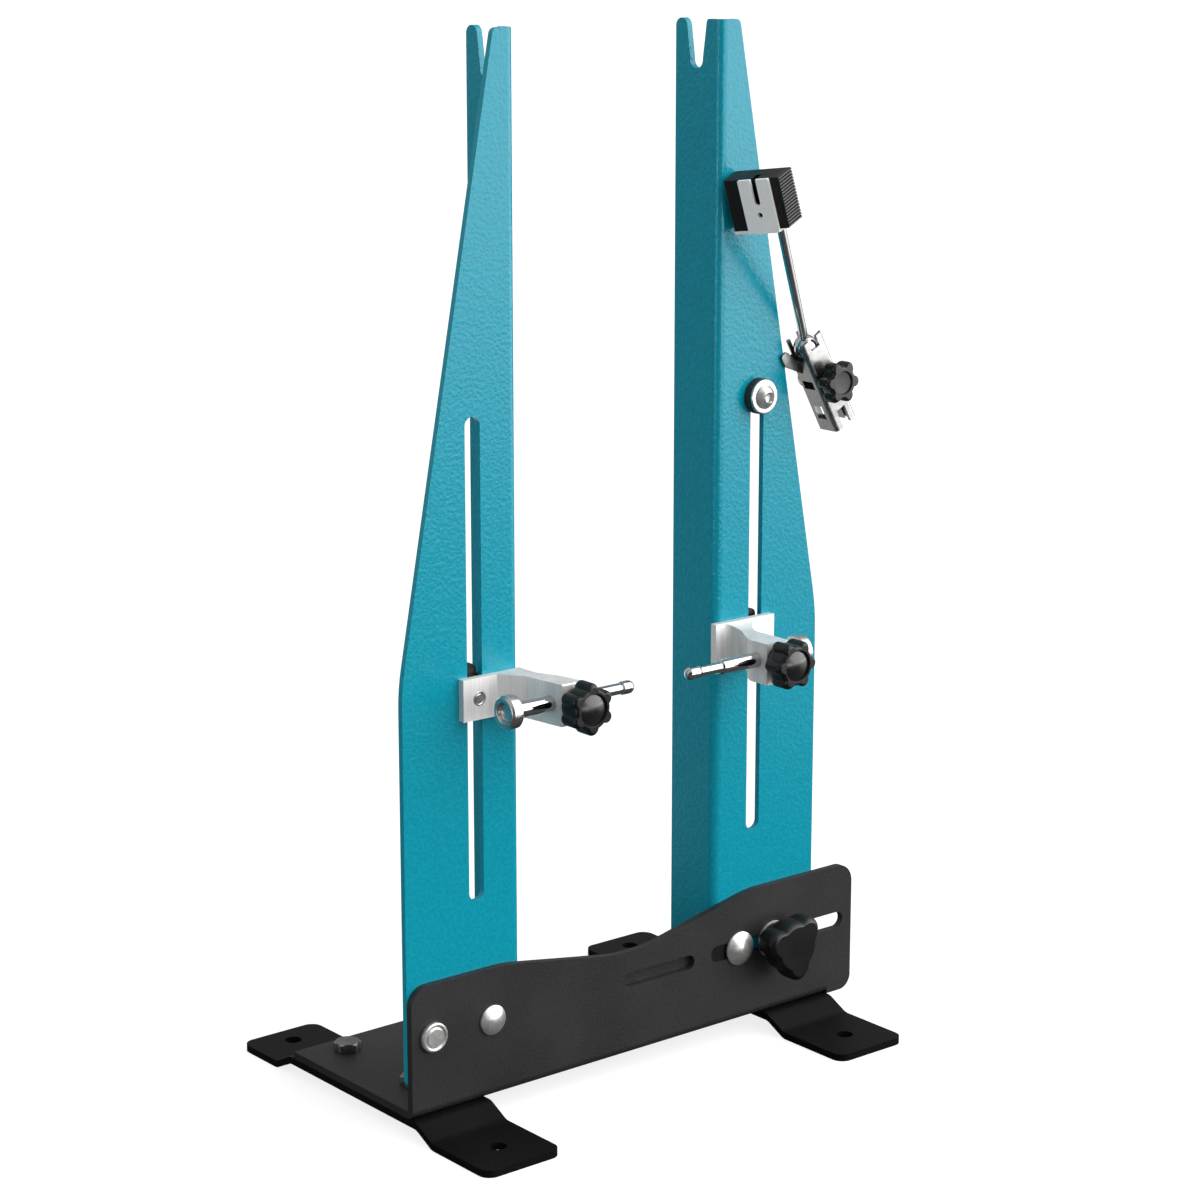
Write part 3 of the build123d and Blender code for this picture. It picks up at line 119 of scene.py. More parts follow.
# %% A finish is one material
class Finish:
    """A material with one main shader. Numbers that are the same all over are set on its
    sockets."""

    def __init__(self, name, **sockets):
        self.material = bpy.data.materials.new(name)
        self.material.use_nodes = True
        self.nodes, self.links = self.material.node_tree.nodes, self.material.node_tree.links
        self.nodes.clear()
        output = self.nodes.new("ShaderNodeOutputMaterial")
        self.shader = self.nodes.new("ShaderNodeBsdfPrincipled")
        self.links.new(self.shader.outputs[0], output.inputs["Surface"])
        for socket, value in sockets.items():
            self.feed(socket, value)

    def feed(self, socket, value):
        self.join(self.shader.inputs[socket], value)

    def join(self, entry, value):
        if isinstance(value, Signal):
            self.links.new(value.socket, entry)
        elif isinstance(value, tuple) and len(value) == 3 and entry.type == "RGBA":
            entry.default_value = (*value, 1.0)
        else:
            entry.default_value = value

    def node(self, kind, settings=None, values=None, out=0):
        """Any node: its settings first, then the values or links of its sockets."""
        made = self.nodes.new(kind)
        for name, value in (settings or {}).items():
            setattr(made, name, value)
        for name, value in (values or {}).items():
            self.join(made.inputs[name], value)
        return Signal(self, made.outputs[out])

    def vector(self, operation, values, out=0):
        """Vector Math, where out="Value" gives a number instead of a vector."""
        return self.node("ShaderNodeVectorMath", {"operation": operation}, values, out)

    def ray(self, kind):
        """1 for rays of one kind, such as "Is Camera Ray", and 0 for all others."""
        return self.node("ShaderNodeLightPath", out=kind)

    def place(self, stretch=(1, 1, 1)):
        """Object coordinates in metres, stretched."""
        where = self.node("ShaderNodeTexCoord", out="Object")
        return self.node("ShaderNodeMapping", values={"Vector": where, "Scale": stretch})

    def noise(self, scale, detail=2.0, stretch=(1, 1, 1)):
        values = {"Vector": self.place(stretch), "Scale": scale, "Detail": detail}
        return self.node("ShaderNodeTexNoise", values=values)

    def cells(self, scale, where, smooth):
        """Distance from the middle of the nearest cell, with rounded rims."""
        values = {"Vector": where, "Scale": scale, "Smoothness": smooth}
        return self.node("ShaderNodeTexVoronoi", {"feature": "SMOOTH_F1"}, values)

    def blend(self, share, low, high):
        """Low colour where the share is 0, high colour where it is 1."""
        values = {"Factor": share, 6: low, 7: high}
        return self.node("ShaderNodeMix", {"data_type": "RGBA"}, values, out=2)

    def raise_by(self, height, distance):
        """Bump whose full height is the distance, in metres."""
        values = {"Height": height, "Distance": distance}
        self.feed("Normal", self.node("ShaderNodeBump", values=values))


print("finishes can be written as sums")


# %% [markdown]
# ## Floor and light
#
# The picture is a plain one on white. A broad sun from the front right lights the faces of the
# uprights, and the world fills the sides that face left. To the camera the floor adds its own
# white.
#
# The camera looks down, so the faces that stand upright mirror the floor and not the walls. What
# they mirror is set there: the floor is dark, with glows in a few directions that begin some way
# off. That is why the paint is pale near the top of the uprights and deep near their feet. The
# glows are seen in reflections only. The room has one bright side and two dark ones, for the
# faces that look up.

# %% Floor
FLOOR_SIZE = 40.0
FLOOR_COLOUR, MIRRORED_FLOOR = (0.30, 0.30, 0.30), (0.09, 0.09, 0.09)
FLOOR_GLOW = 0.82
# Each glow has the way it lies in, the cosines where it starts and is full, the distances in
# metres where it starts and is full, and its strength.
GLOWS = (
    ((0.66, -0.75, 0.0), 0.60, 0.97, 0.4, 3.2, 5.2),   # front right: the webs and the plate
    ((-1.0, 0.0, 0.0), 0.94, 0.99, 0.8, 1.8, 6.0),     # left: a line along each fold
    ((-0.07, -1.0, 0.0), 0.96, 0.995, 1.0, 1.8, 5.0),  # front: a second line along each fold
    ((0.93, -0.37, 0.0), 0.86, 0.98, 0.3, 0.8, 1.0),   # right: faces turned a little that way
    ((0.0, 1.0, 0.0), 0.75, 0.97, 0.10, 0.25, 0.9),    # back: the flanges
)

floor_mesh = bpy.data.meshes.new("floor")
half = FLOOR_SIZE / 2
floor_corners = [(-half, -half, 0), (half, -half, 0), (half, half, 0), (-half, half, 0)]
floor_mesh.from_pydata(floor_corners, [], [(0, 1, 2, 3)])
floor = bpy.data.objects.new("floor", floor_mesh)
bpy.context.scene.collection.objects.link(floor)

floor_paint = Finish("floor_paint", Roughness=1.0)
floor_paint.feed("Specular IOR Level", 0.0)
seen, mirrored = floor_paint.ray("Is Camera Ray"), floor_paint.ray("Is Glossy Ray")
reach = floor_paint.vector("LENGTH", {0: floor_paint.place()}, "Value")
bearing = floor_paint.vector("NORMALIZE", {0: floor_paint.place()})
glow = 0.0
for way, start, end, near, far, strength in GLOWS:
    facing = floor_paint.vector("DOT_PRODUCT", {0: bearing, 1: way}, "Value")
    glow = facing.between(start, end) * reach.between(near, far) * strength + glow
floor_paint.feed("Base Color", floor_paint.blend(mirrored, FLOOR_COLOUR, MIRRORED_FLOOR))
floor_paint.feed("Emission Color", seen * FLOOR_GLOW + mirrored * glow)
floor_paint.feed("Emission Strength", 1.0)
floor_mesh.materials.append(floor_paint.material)
print("floor side in metres:", FLOOR_SIZE)

# %% Sun and world
SUN_POWER, SUN_SIZE = 2.75, math.radians(78.0)
SUN_HEIGHT, SUN_HEADING = math.radians(34.0), math.radians(40.0)
FILL = 0.62
ROOM_LEVEL = 0.62
# Each window has the way it lies in, the cosines where it starts and is full, and its strength,
# which is negative where the room is dark.
WINDOWS = (
    ((0.66, -0.75, 0.0), 0.55, 0.95, 2.6),      # front right
    ((-0.60, -0.76, 0.10), 0.72, 0.93, -0.58),  # behind the camera
    ((0.63, 0.77, 0.1), 0.60, 0.95, -0.30),     # behind the stand
)

sun_data = bpy.data.lights.new("key_sun", "SUN")
sun_data.energy, sun_data.angle = SUN_POWER, SUN_SIZE
sun = bpy.data.objects.new("key_sun", sun_data)
sun.rotation_euler = (math.pi / 2 - SUN_HEIGHT, 0.0, SUN_HEADING)
bpy.context.scene.collection.objects.link(sun)

world = bpy.data.worlds.new("studio")
world.use_nodes = True
bpy.context.scene.world = world


class Studio(Finish):
    """The world's light, wired like a finish."""

    def __init__(self, tree):
        self.nodes, self.links = tree.nodes, tree.links
        self.nodes.clear()
        output = self.nodes.new("ShaderNodeOutputWorld")
        self.shader = self.nodes.new("ShaderNodeBackground")
        self.links.new(self.shader.outputs[0], output.inputs["Surface"])


studio = Studio(world.node_tree)
direction = studio.node("ShaderNodeTexCoord", out="Generated")
room = ROOM_LEVEL
for way, start, end, strength in WINDOWS:
    facing = studio.vector("DOT_PRODUCT", {0: direction, 1: way}, "Value")
    room = facing.between(start, end) * strength + room
seen, mirrored = studio.ray("Is Camera Ray"), studio.ray("Is Glossy Ray")
through = studio.ray("Is Transmission Ray")
level = (1 - seen - mirrored - through) * FILL + seen + through + mirrored * room
studio.feed("Strength", level)
studio.feed("Color", (1.0, 1.0, 1.0))
bpy.context.scene.view_settings.view_transform = "Standard"
print("sun power:", SUN_POWER, "fill:", FILL)


# %% [markdown]
# ## Hammered paint
#
# The uprights have a gloss enamel that dries in small dents, as on many workshop tools. A
# picture of dents would stretch over the bend, so the dents are cells of a smooth Voronoi
# pattern whose places drift with a noise. The pattern is solid: it runs through the sheet and
# meets itself at every edge. Scales are in cells or waves for each metre, roughly.

# %% Teal hammered enamel
CELL_SCALE, CELL_SMOOTHNESS, DENT_DEPTH = 700.0, 0.8, 0.00009
DRIFT_SCALE, DRIFT_REACH = 420.0, 0.0014
CLOUD_SCALE, PORE_SCALE = 260.0, 1500.0


def hammered(name, deep, pale):
    """Cells about 1.4 mm wide. Their middles are dents, darkened with painted shade, and their rims
    are paler with painted light and a little rougher."""
    paint = Finish(name)
    paint.feed("Specular IOR Level", 0.31)
    clouds = paint.noise(CLOUD_SCALE)
    values = {"Vector": paint.place(), "Scale": DRIFT_SCALE}
    drift = paint.node("ShaderNodeTexNoise", values=values, out="Color")
    drift = paint.vector("SCALE", {0: drift, "Scale": DRIFT_REACH})
    where = paint.vector("ADD", {0: paint.place(), 1: drift})
    dents = paint.cells(CELL_SCALE, where, CELL_SMOOTHNESS)
    pores = paint.noise(PORE_SCALE, 1.0)
    # Painted shade and light: the colour is deeper in each dent's middle and paler on its rim. The
    # clouds add a random tone.
    share = dents.between(0.15, 0.75) * 0.55 + clouds * 0.25
    paint.feed("Base Color", paint.blend(share, deep, pale))
    paint.feed("Roughness", 0.20 + dents * 0.08)
    paint.raise_by(dents + pores * 0.05, DENT_DEPTH)
    return paint.material


# The deep teal is painted shade in the dents and the pale teal is painted light on their rims. Both
# also set the random tone of the clouds.
TEAL_DEEP_DENT_SHADE = (0.0006, 0.282, 0.386)
TEAL_PALE_RIM_LIGHT = (0.0018, 0.340, 0.455)
teal_enamel = hammered("teal_enamel", TEAL_DEEP_DENT_SHADE, TEAL_PALE_RIM_LIGHT)
print("paint:", teal_enamel.name)


# %% [markdown]
# ## Black powder coat
#
# The base and its feet are powder coated: an even black with a fine grain like orange peel,
# which breaks up the reflections. Two fine noises raise the surface. A slow third one makes
# patches slightly paler and rougher, like a trace of dust.

# %% Powder coat
PATCH_SCALE, PEEL_SCALE, GRAIN_SCALE, PEEL_HEIGHT = 22.0, 900.0, 4200.0, 0.00012


def powder(name, colour, dusty, gloss):
    """Peel about 1 mm wide with a grain of 0.2 mm, and slow patches in the colour."""
    coat = Finish(name)
    coat.feed("Specular IOR Level", gloss)
    patches = coat.noise(PATCH_SCALE, 3.0)
    peel = coat.noise(PEEL_SCALE, 1.0)
    grain = coat.noise(GRAIN_SCALE, 1.0)
    share = patches.between(0.3, 0.75) * 0.7 + grain * 0.3
    coat.feed("Base Color", coat.blend(share, colour, dusty))
    coat.feed("Roughness", 0.40 + patches * 0.10)
    coat.raise_by(peel * 0.75 + grain * 0.25, PEEL_HEIGHT)
    return coat.material


black_coat = powder("black_coat", (0.018, 0.018, 0.018), (0.030, 0.030, 0.030), 0.26)
foot_coat = powder("foot_coat", (0.003, 0.003, 0.003), (0.007, 0.007, 0.007), 0.08)
print("paint:", black_coat.name, foot_coat.name)


# %% [markdown]
# ## Metals
#
# Bare metal takes its colour from what it mirrors, so its finish is mostly roughness. Zinc is
# blotchy, a drawn arm has long streaks, and polished steel is nearly a mirror. One function
# covers all of them, because they differ only in size, stretch and depth. Where metallic is
# below 1, the piece keeps some pale colour of its own, whatever it mirrors. The gauge's plate is
# at 0, because as a full metal it mirrors the teal upright beside it. Its near-white colour is
# partly the plate's own pale steel and partly a painted reflection of bright light from the left.

# %% Metal finishes
SLOW_SHARE = 0.13


def metal(name, dark, pale, rough, spread, scale, stretch=(1, 1, 1), depth=0.0, metallic=1.0):
    """Streaks or blotches of noise move the colour and the roughness together."""
    finish = Finish(name, Metallic=metallic)
    marks = finish.noise(scale, 3.0, stretch)
    slow = finish.noise(scale * SLOW_SHARE, 2.0, stretch)
    share = marks.between(0.3, 0.7) * 0.6 + slow.between(0.35, 0.65) * 0.4
    finish.feed("Base Color", finish.blend(share, dark, pale))
    finish.feed("Roughness", rough + share * spread)
    if depth:
        finish.raise_by(marks, depth)
    return finish.material


zinc = metal("zinc_plate", (0.50, 0.50, 0.49), (0.70, 0.70, 0.68), 0.27, 0.16, 700.0,
             depth=0.00002, metallic=0.72)
dark_zinc = metal("dark_zinc", (0.10, 0.10, 0.10), (0.20, 0.20, 0.19), 0.30, 0.18, 700.0,
                  depth=0.00002)
dull_zinc = metal("dull_zinc", (0.20, 0.20, 0.20), (0.34, 0.34, 0.33), 0.28, 0.14, 500.0,
                  depth=0.00002)
drawn = metal("drawn_aluminium", (0.72, 0.715, 0.705), (0.90, 0.895, 0.885), 0.48, 0.14, 1500.0,
              stretch=(1, 1, 0.03), depth=0.00002, metallic=0.55)
satin_steel = metal("satin_steel", (0.46, 0.46, 0.46), (0.62, 0.62, 0.61), 0.24, 0.12, 1200.0,
                    depth=0.00001)
polished = metal("polished_steel", (0.50, 0.50, 0.51), (0.62, 0.62, 0.63), 0.05, 0.04, 900.0,
                 stretch=(1, 1, 0.2))
# Near-white with metallic 0: partly the plate's own pale steel and partly a painted reflection of
# light from the left.
bright = metal("plate_painted_reflection", (0.93, 0.93, 0.93), (0.99, 0.99, 0.98), 0.42, 0.12, 900.0,
               stretch=(1, 1, 0.2), depth=0.00001, metallic=0.0)
brass = metal("brass_bush", (0.52, 0.36, 0.14), (0.66, 0.48, 0.20), 0.28, 0.12, 800.0)
metals = (zinc, dark_zinc, dull_zinc, drawn, satin_steel, polished, bright, brass)
print("metals:", [made.name for made in metals])


# %% [markdown]
# ## Plastic and rubber
#
# The knobs are moulded black plastic. The mould was spark-eroded, so the skin has a fine even
# grain, and hands polish it in slow patches. Rubber is the same idea, but paler and rougher.

# %% Moulded black
MOULD_SCALE, TOUCH_SCALE = 3000.0, 90.0


def moulded(name, colour, worn, rough, grain_height, gloss=0.5):
    """A grain of 0.3 mm with slow polished patches."""
    black = Finish(name)
    black.feed("Specular IOR Level", gloss)
    grain = black.noise(MOULD_SCALE)
    touch = black.noise(TOUCH_SCALE).between(0.35, 0.7)
    black.feed("Base Color", black.blend(touch, colour, worn))
    black.feed("Roughness", rough - touch * 0.10 + grain * 0.06)
    black.raise_by(grain, grain_height)
    return black.material


satin_black = moulded("satin_black", (0.005, 0.005, 0.005), (0.009, 0.009, 0.009), 0.34, 0.00003,
                      gloss=0.34)
gloss_black = moulded("gloss_black", (0.010, 0.010, 0.010), (0.014, 0.014, 0.014), 0.20, 0.000005)
warm_black = moulded("warm_black", (0.007, 0.0055, 0.005), (0.012, 0.010, 0.009), 0.44, 0.00004,
                     gloss=0.2)
rubber = moulded("black_rubber", (0.016, 0.016, 0.016), (0.026, 0.026, 0.026), 0.70, 0.00005)
print("mouldings:", [made.name for made in (satin_black, gloss_black, warm_black, rubber)])


# %% [markdown]
# ## Which piece has which finish
#
# The folded and sawn pieces keep their own solids, because their shape is already right. Each
# gets its finish here. The turned and moulded ones follow, with surfaces of their own.

# %% Dress the kept pieces
KEPT = {
    "base_plate": black_coat, "left_foot_strip": foot_coat, "right_foot_strip": foot_coat,
    "slot_backing_strip": black_coat, "carriage_slide_block": satin_black,
    "left_upright": teal_enamel, "right_upright": teal_enamel,
    "left_feeler_arm": drawn, "right_feeler_arm": drawn,
    "gauge_front_jaw": dull_zinc, "gauge_rear_jaw": dull_zinc, "gauge_plate": bright,
    "gauge_block": warm_black, "gauge_grip": satin_black,
    "left_slot_runner": satin_black, "right_slot_runner": satin_black,
    "left_star_screw": zinc, "right_star_screw": zinc,
    "clamp_knob_insert": brass, "gauge_knob_insert": brass,
}


def dress(obj, finish):
    """Gives the piece one finish, in the slots it came with."""
    if not obj.material_slots:
        obj.data.materials.append(finish)
    for entry in obj.material_slots:
        entry.material = finish


for node, finish in KEPT.items():
    dress(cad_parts[node], finish)
print("kept pieces:", len(KEPT))


# %% [markdown]
# ## Turned surfaces from rows of numbers
#
# A bolt, a rod or a knob is a profile carried round an axis. Each row of the profile holds a
# radius, a height, how much the row follows an outline such as a hexagon, and how deep a thread
# cuts it. The whole grid is worked out at once as arrays, with no loop over points.

# %% Grid of a turned piece
TURN = 2.0 * math.pi


def turned(rows, outline=None, steps=96, pitch=1.0):
    """Point at (row, angle): radius * (1 + follow * (outline(angle) - 1)) - thread * tooth, at
    the row's height. The tooth is a saw of height / pitch - angle / turn, folded to 0..1."""
    rows = np.asarray(rows, float)
    angle = np.arange(steps) * TURN / steps
    shape = np.ones(steps) if outline is None else outline(angle)
    radius = rows[:, :1] * (1.0 + rows[:, 2:3] * (shape - 1.0))
    tooth = np.abs((rows[:, 1:2] / pitch - angle / TURN) % 1.0 * 2.0 - 1.0)
    radius = radius - rows[:, 3:4] * tooth
    height = np.broadcast_to(rows[:, 1:2], radius.shape)
    return np.stack([radius * np.cos(angle), radius * np.sin(angle), height], axis=-1)


def rounded(points, radius, steps=5):
    """Each inner corner becomes a parabola that starts and ends one radius from it, or just
    before the middle of a shorter side."""
    points = np.asarray(points, float)
    longest = 0.45
    corner = points[1:-1]
    back, ahead = points[:-2] - corner, points[2:] - corner
    back_length = np.linalg.norm(back, axis=1, keepdims=True)
    ahead_length = np.linalg.norm(ahead, axis=1, keepdims=True)
    start = corner + back / back_length * np.minimum(radius, back_length * longest)
    end = corner + ahead / ahead_length * np.minimum(radius, ahead_length * longest)
    t = np.linspace(0.0, 1.0, steps)[None, :, None]
    bend = start[:, None] * (1 - t) ** 2 + corner[:, None] * 2 * t * (1 - t) + end[:, None] * t ** 2
    return np.concatenate([points[:1], bend.reshape(-1, 2), points[-1:]])


def rows_of(points, follow=0.0, thread=0.0):
    """Rows from (radius, height) points that share one follow and one thread depth."""
    points = np.asarray(points, float)
    extra = np.broadcast_to([follow, thread], (len(points), 2))
    return np.hstack([points, extra])


def aimed(grid, start, axis):
    """Moves a grid in millimetres so that its height runs from start along axis, in metres."""
    axis = np.asarray(axis, float) / np.linalg.norm(axis)
    helper = np.array([0.0, 0.0, 1.0]) if abs(axis[2]) < 0.9 else np.array([1.0, 0.0, 0.0])
    side = np.cross(helper, axis)
    side = side / np.linalg.norm(side)
    basis = np.stack([side, np.cross(axis, side), axis])
    return (np.asarray(start, float) + grid @ basis) * MM


# %% Skin over one or more grids
SHARP_ANGLE = math.radians(32.0)


def faces_of(rows, steps, first, ring):
    """Quads between neighbouring rows. A ring joins its last row to its first, and anything
    else is closed by a fan at each end."""
    row = np.arange(rows if ring else rows - 1)[:, None]
    here = np.arange(steps)[None, :]
    ahead = (here + 1) % steps
    above = (row + 1) % rows
    corners = [row * steps + here, row * steps + ahead, above * steps + ahead, above * steps + here]
    quads = (np.stack(corners, axis=-1).reshape(-1, 4) + first).tolist()
    if ring:
        return quads
    low_pole, top = first + rows * steps, first + (rows - 1) * steps
    high_pole = low_pole + 1
    fan = np.stack([np.full(steps, low_pole), first + ahead[0], first + here[0]], axis=-1).tolist()
    fan += np.stack([np.full(steps, high_pole), top + here[0], top + ahead[0]], axis=-1).tolist()
    return quads + fan


def skin(name, grids, finish, body, replaced, ring=False):
    """One piece from a list of grids. It rides on a body and stands for a node of the stand."""
    points, faces = [], []
    for grid in grids:
        first = sum(len(block) for block in points)
        rows, steps = grid.shape[:2]
        poles = [] if ring else [grid[0].mean(axis=0)[None], grid[-1].mean(axis=0)[None]]
        points.append(np.concatenate([grid.reshape(-1, 3)] + poles))
        faces += faces_of(rows, steps, first, ring)
    mesh = bpy.data.meshes.new(name)
    mesh.from_pydata(np.concatenate(points).tolist(), [], faces)
    mesh.polygons.foreach_set("use_smooth", np.ones(len(mesh.polygons), bool))
    mesh.set_sharp_from_angle(angle=SHARP_ANGLE)
    mesh.materials.append(finish)
    piece = bpy.data.objects.new(name, mesh)
    bpy.context.scene.collection.objects.link(piece)
    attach(piece, body)
    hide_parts(replaced)
    print(name, "faces:", len(faces))


def span(node):
    """Middle, low corner and high corner of a node, in millimetres."""
    low, high = (np.array(corner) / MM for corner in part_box(node))
    return (low + high) / 2, low, high


def along_front(node):
    """Start and length of a piece whose axis runs from its back to its front."""
    middle, low, high = span(node)
    return (middle[0], high[1], middle[2]), high[1] - low[1]


FRONT, UP = (0, -1, 0), (0, 0, 1)


# %% [markdown]
# ## Feeler rods
#
# Each rod is a ground steel pin with a groove behind its round tip, which points at the rim. A
# thick button at the outer end has a shallow dish for the thumb. Both are plain turned shapes,
# so a list of radii along the rod says everything. Sizes from here on are in millimetres.

# %% Rods and their buttons
ROD_RADIUS, NOSE_RADIUS, GROOVE_RADIUS, TIP_RADIUS = 3.0, 2.2, 1.8, 2.6
TIP_LENGTH, GROOVE_LENGTH, NOSE_LENGTH = 3.4, 1.0, 15.0
ROD_CHAMFER, NOSE_SLOPE, TIP_STEP, ROD_EASE = 0.4, 0.7, 0.2, 0.25
BUTTON_RADIUS, BUTTON_CHAMFER, BUTTON_EASE, BUTTON_ROUNDING = 6.5, 0.3, 0.9, 0.35
DISH_RADIUS, DISH_DEPTH, DISH_LIP, DISH_EDGE = 3.7, 1.7, 0.35, 0.45
# A face stops at this radius, and a fan of triangles closes it.
FACE_END = 0.4


def rod_rows(length):
    """Radius along the rod from its button to its tip, which ends in half a ball."""
    nose, tip = length - NOSE_LENGTH - TIP_RADIUS, length - TIP_LENGTH - TIP_RADIUS
    body = rounded([
        (ROD_RADIUS - ROD_CHAMFER, 0), (ROD_RADIUS, ROD_CHAMFER),
        (ROD_RADIUS, nose - NOSE_SLOPE), (NOSE_RADIUS, nose),
        (NOSE_RADIUS, tip - GROOVE_LENGTH), (GROOVE_RADIUS, tip - GROOVE_LENGTH * 0.7),
        (GROOVE_RADIUS, tip - TIP_STEP), (TIP_RADIUS, tip + TIP_STEP),
        (TIP_RADIUS, length - TIP_RADIUS)], ROD_EASE)
    swing = np.linspace(0.0, 0.98, 12)[1:] * math.pi / 2
    rise = length - TIP_RADIUS + TIP_RADIUS * np.sin(swing)
    cap = np.stack([TIP_RADIUS * np.cos(swing), rise], axis=-1)
    return rows_of(np.concatenate([body, cap]))


def button_rows(thickness):
    """A disc with eased edges and a dish in its outer face. Height runs outwards."""
    floor_height = thickness - DISH_DEPTH
    return rows_of(rounded([
        (DISH_RADIUS * 0.3, 0), (BUTTON_RADIUS - BUTTON_CHAMFER, 0),
        (BUTTON_RADIUS, BUTTON_CHAMFER), (BUTTON_RADIUS, thickness - BUTTON_EASE),
        (BUTTON_RADIUS - BUTTON_EASE, thickness), (DISH_RADIUS + DISH_LIP, thickness),
        (DISH_RADIUS, thickness - DISH_EDGE), (DISH_RADIUS * 0.86, floor_height),
        (FACE_END, floor_height)], BUTTON_ROUNDING))


for side, outwards in (("left", -1), ("right", 1)):
    middle, low, high = span(side + "_feeler_rod")
    outer = high[0] if outwards > 0 else low[0]
    start = (outer, middle[1], middle[2])
    rod = aimed(turned(rod_rows(high[0] - low[0])), start, (-outwards, 0, 0))
    skin(side + "_turned_rod", [rod], polished, side + "_feeler", side + "_feeler_rod")
    middle, low, high = span(side + "_feeler_head")
    inner = low[0] if outwards > 0 else high[0]
    start = (inner, middle[1], middle[2])
    button = aimed(turned(button_rows(high[0] - low[0])), start, (outwards, 0, 0))
    skin(side + "_turned_button", [button], satin_steel, side + "_feeler",
         side + "_feeler_head")


# %% [markdown]
# ## Knobs
#
# The knobs are moulded with rounded lobes and hollows between them. The star knobs and the
# gauge's small one have a sunk face, and a star knob has a domed cap in it. The outline is made
# of circles about a round hub. The collar and the middle of a face stay round, and only the rows
# of the rim follow the lobes.

# %% Lobed surfaces
KNOB_STEPS = 180


def round_lobes(count, reach, lobe, hub, turn_degrees, softness):
    """Outline of circles of radius lobe about a round hub. Where a ray leaves a circle at r, the
    outline is hub + softness * log(1 + exp((r - hub) / softness)), which blends the two."""
    def outline(angle):
        part = TURN / count
        off = (angle - math.radians(turn_degrees) + part / 2) % part - part / 2
        middle = reach - lobe
        inside = np.clip(lobe ** 2 - (middle * np.sin(off)) ** 2, 0.0, None)
        out = middle * np.cos(off) + np.sqrt(inside)
        return (hub + softness * np.log1p(np.exp((out - hub) / softness))) / reach
    return outline


def knob_rows(collar, collar_height, reach, height, ease, sunk=0.0, sunk_depth=0.0):
    """Profile of a knob from its collar to its face, which may be sunk. Only the rim's rows follow
    the lobes."""
    top = collar_height + height
    foot = rows_of(rounded([(0.6, 0), (collar, 0), (collar, collar_height)], 0.4))
    rim = rows_of(rounded([
        (collar + 0.3, collar_height), (reach - ease, collar_height),
        (reach, collar_height + ease), (reach, top - ease), (reach - ease, top),
        (reach - 1.6 * ease, top)], ease * 0.9, 7), follow=1.0)
    if not sunk:
        face = rows_of([(reach / 2, top), (reach / 4, top), (FACE_END, top)])
        return np.concatenate([foot, rim, face])
    face = rows_of([(sunk + 0.3, top)])
    dish = rows_of(rounded([
        (sunk + 0.2, top), (sunk, top - 0.2), (sunk - 0.15, top - sunk_depth),
        (0.6, top - sunk_depth)], 0.2))
    return np.concatenate([foot, rim, face, dish])


def lobed_knob(node, name, body, centre, rows, outline):
    """Knob that starts at the back of its node and turns about a given centre."""
    start = (centre[0], along_front(node)[0][1], centre[2])
    grid = aimed(turned(rows, outline, KNOB_STEPS), start, FRONT)
    skin(name, [grid], satin_black, body, node)


# %% Star knobs and their caps
STAR_LOBES, STAR_LOBE, STAR_HUB, STAR_SOFTNESS = 6, 2.4, 8.15, 0.22
STAR_COLLAR, STAR_COLLAR_HEIGHT, STAR_EASE = 6.5, 2.2, 1.1
STAR_SUNK, STAR_SUNK_DEPTH = 6.2, 1.2
CAP_EDGE, CAP_TOP_GAP = 0.3, 0.3


def cap_rows(radius, height):
    """A low rim and a face that falls off as the square of the radius."""
    share = np.linspace(0.98, 0.03, 14)
    rise = height - CAP_TOP_GAP - (height - CAP_EDGE - CAP_TOP_GAP) * share ** 2
    dome = np.stack([radius * share, rise], axis=-1)
    return rows_of(np.concatenate([[(0.6, 0), (radius - 0.1, 0), (radius, 0.15)], dome]))


for side, knob_turn in (("left", 30.0), ("right", 0.0)):
    middle, low, high = span(side + "_star_knob")
    # A lobe of the left knob points up, and one of the right knob points sideways.
    reach = (high[2] - low[2]) / 2 if side == "left" else (high[0] - low[0]) / 2
    height = high[1] - low[1] - STAR_COLLAR_HEIGHT
    rows = knob_rows(STAR_COLLAR, STAR_COLLAR_HEIGHT, reach, height, STAR_EASE, STAR_SUNK,
                     STAR_SUNK_DEPTH)
    outline = round_lobes(STAR_LOBES, reach, STAR_LOBE, STAR_HUB, knob_turn, STAR_SOFTNESS)
    lobed_knob(side + "_star_knob", side + "_moulded_star", side + "_knob", middle, rows, outline)
    middle, low, high = span(side + "_star_cap")
    start, height = along_front(side + "_star_cap")
    grid = aimed(turned(cap_rows((high[0] - low[0]) / 2, height)), start, FRONT)
    skin(side + "_domed_cap", [grid], gloss_black, side + "_knob", side + "_star_cap")

# %% Clamp knob
CLAMP_LOBES, CLAMP_REACH, CLAMP_LOBE, CLAMP_HUB = 3, 15.0, 5.2, 10.9
CLAMP_TURN, CLAMP_SOFTNESS = 41.0, 1.0
CLAMP_COLLAR, CLAMP_COLLAR_HEIGHT, CLAMP_EASE = 7.5, 4.0, 1.9

height = along_front("clamp_knob")[1] - CLAMP_COLLAR_HEIGHT
rows = knob_rows(CLAMP_COLLAR, CLAMP_COLLAR_HEIGHT, CLAMP_REACH, height, CLAMP_EASE)
outline = round_lobes(CLAMP_LOBES, CLAMP_REACH, CLAMP_LOBE, CLAMP_HUB, CLAMP_TURN, CLAMP_SOFTNESS)
stud_centre = span("clamp_knob_insert")[0]
lobed_knob("clamp_knob", "moulded_clamp_knob", "clamp_knob_body", stud_centre, rows, outline)

# %% Small knob of the gauge
SMALL_LOBES, SMALL_REACH, SMALL_LOBE, SMALL_HUB, SMALL_SOFTNESS = 6, 9.0, 2.2, 6.8, 0.25
SMALL_COLLAR, SMALL_COLLAR_HEIGHT, SMALL_EASE = 4.8, 1.8, 1.1
SMALL_SUNK, SMALL_SUNK_DEPTH = 4.6, 0.9

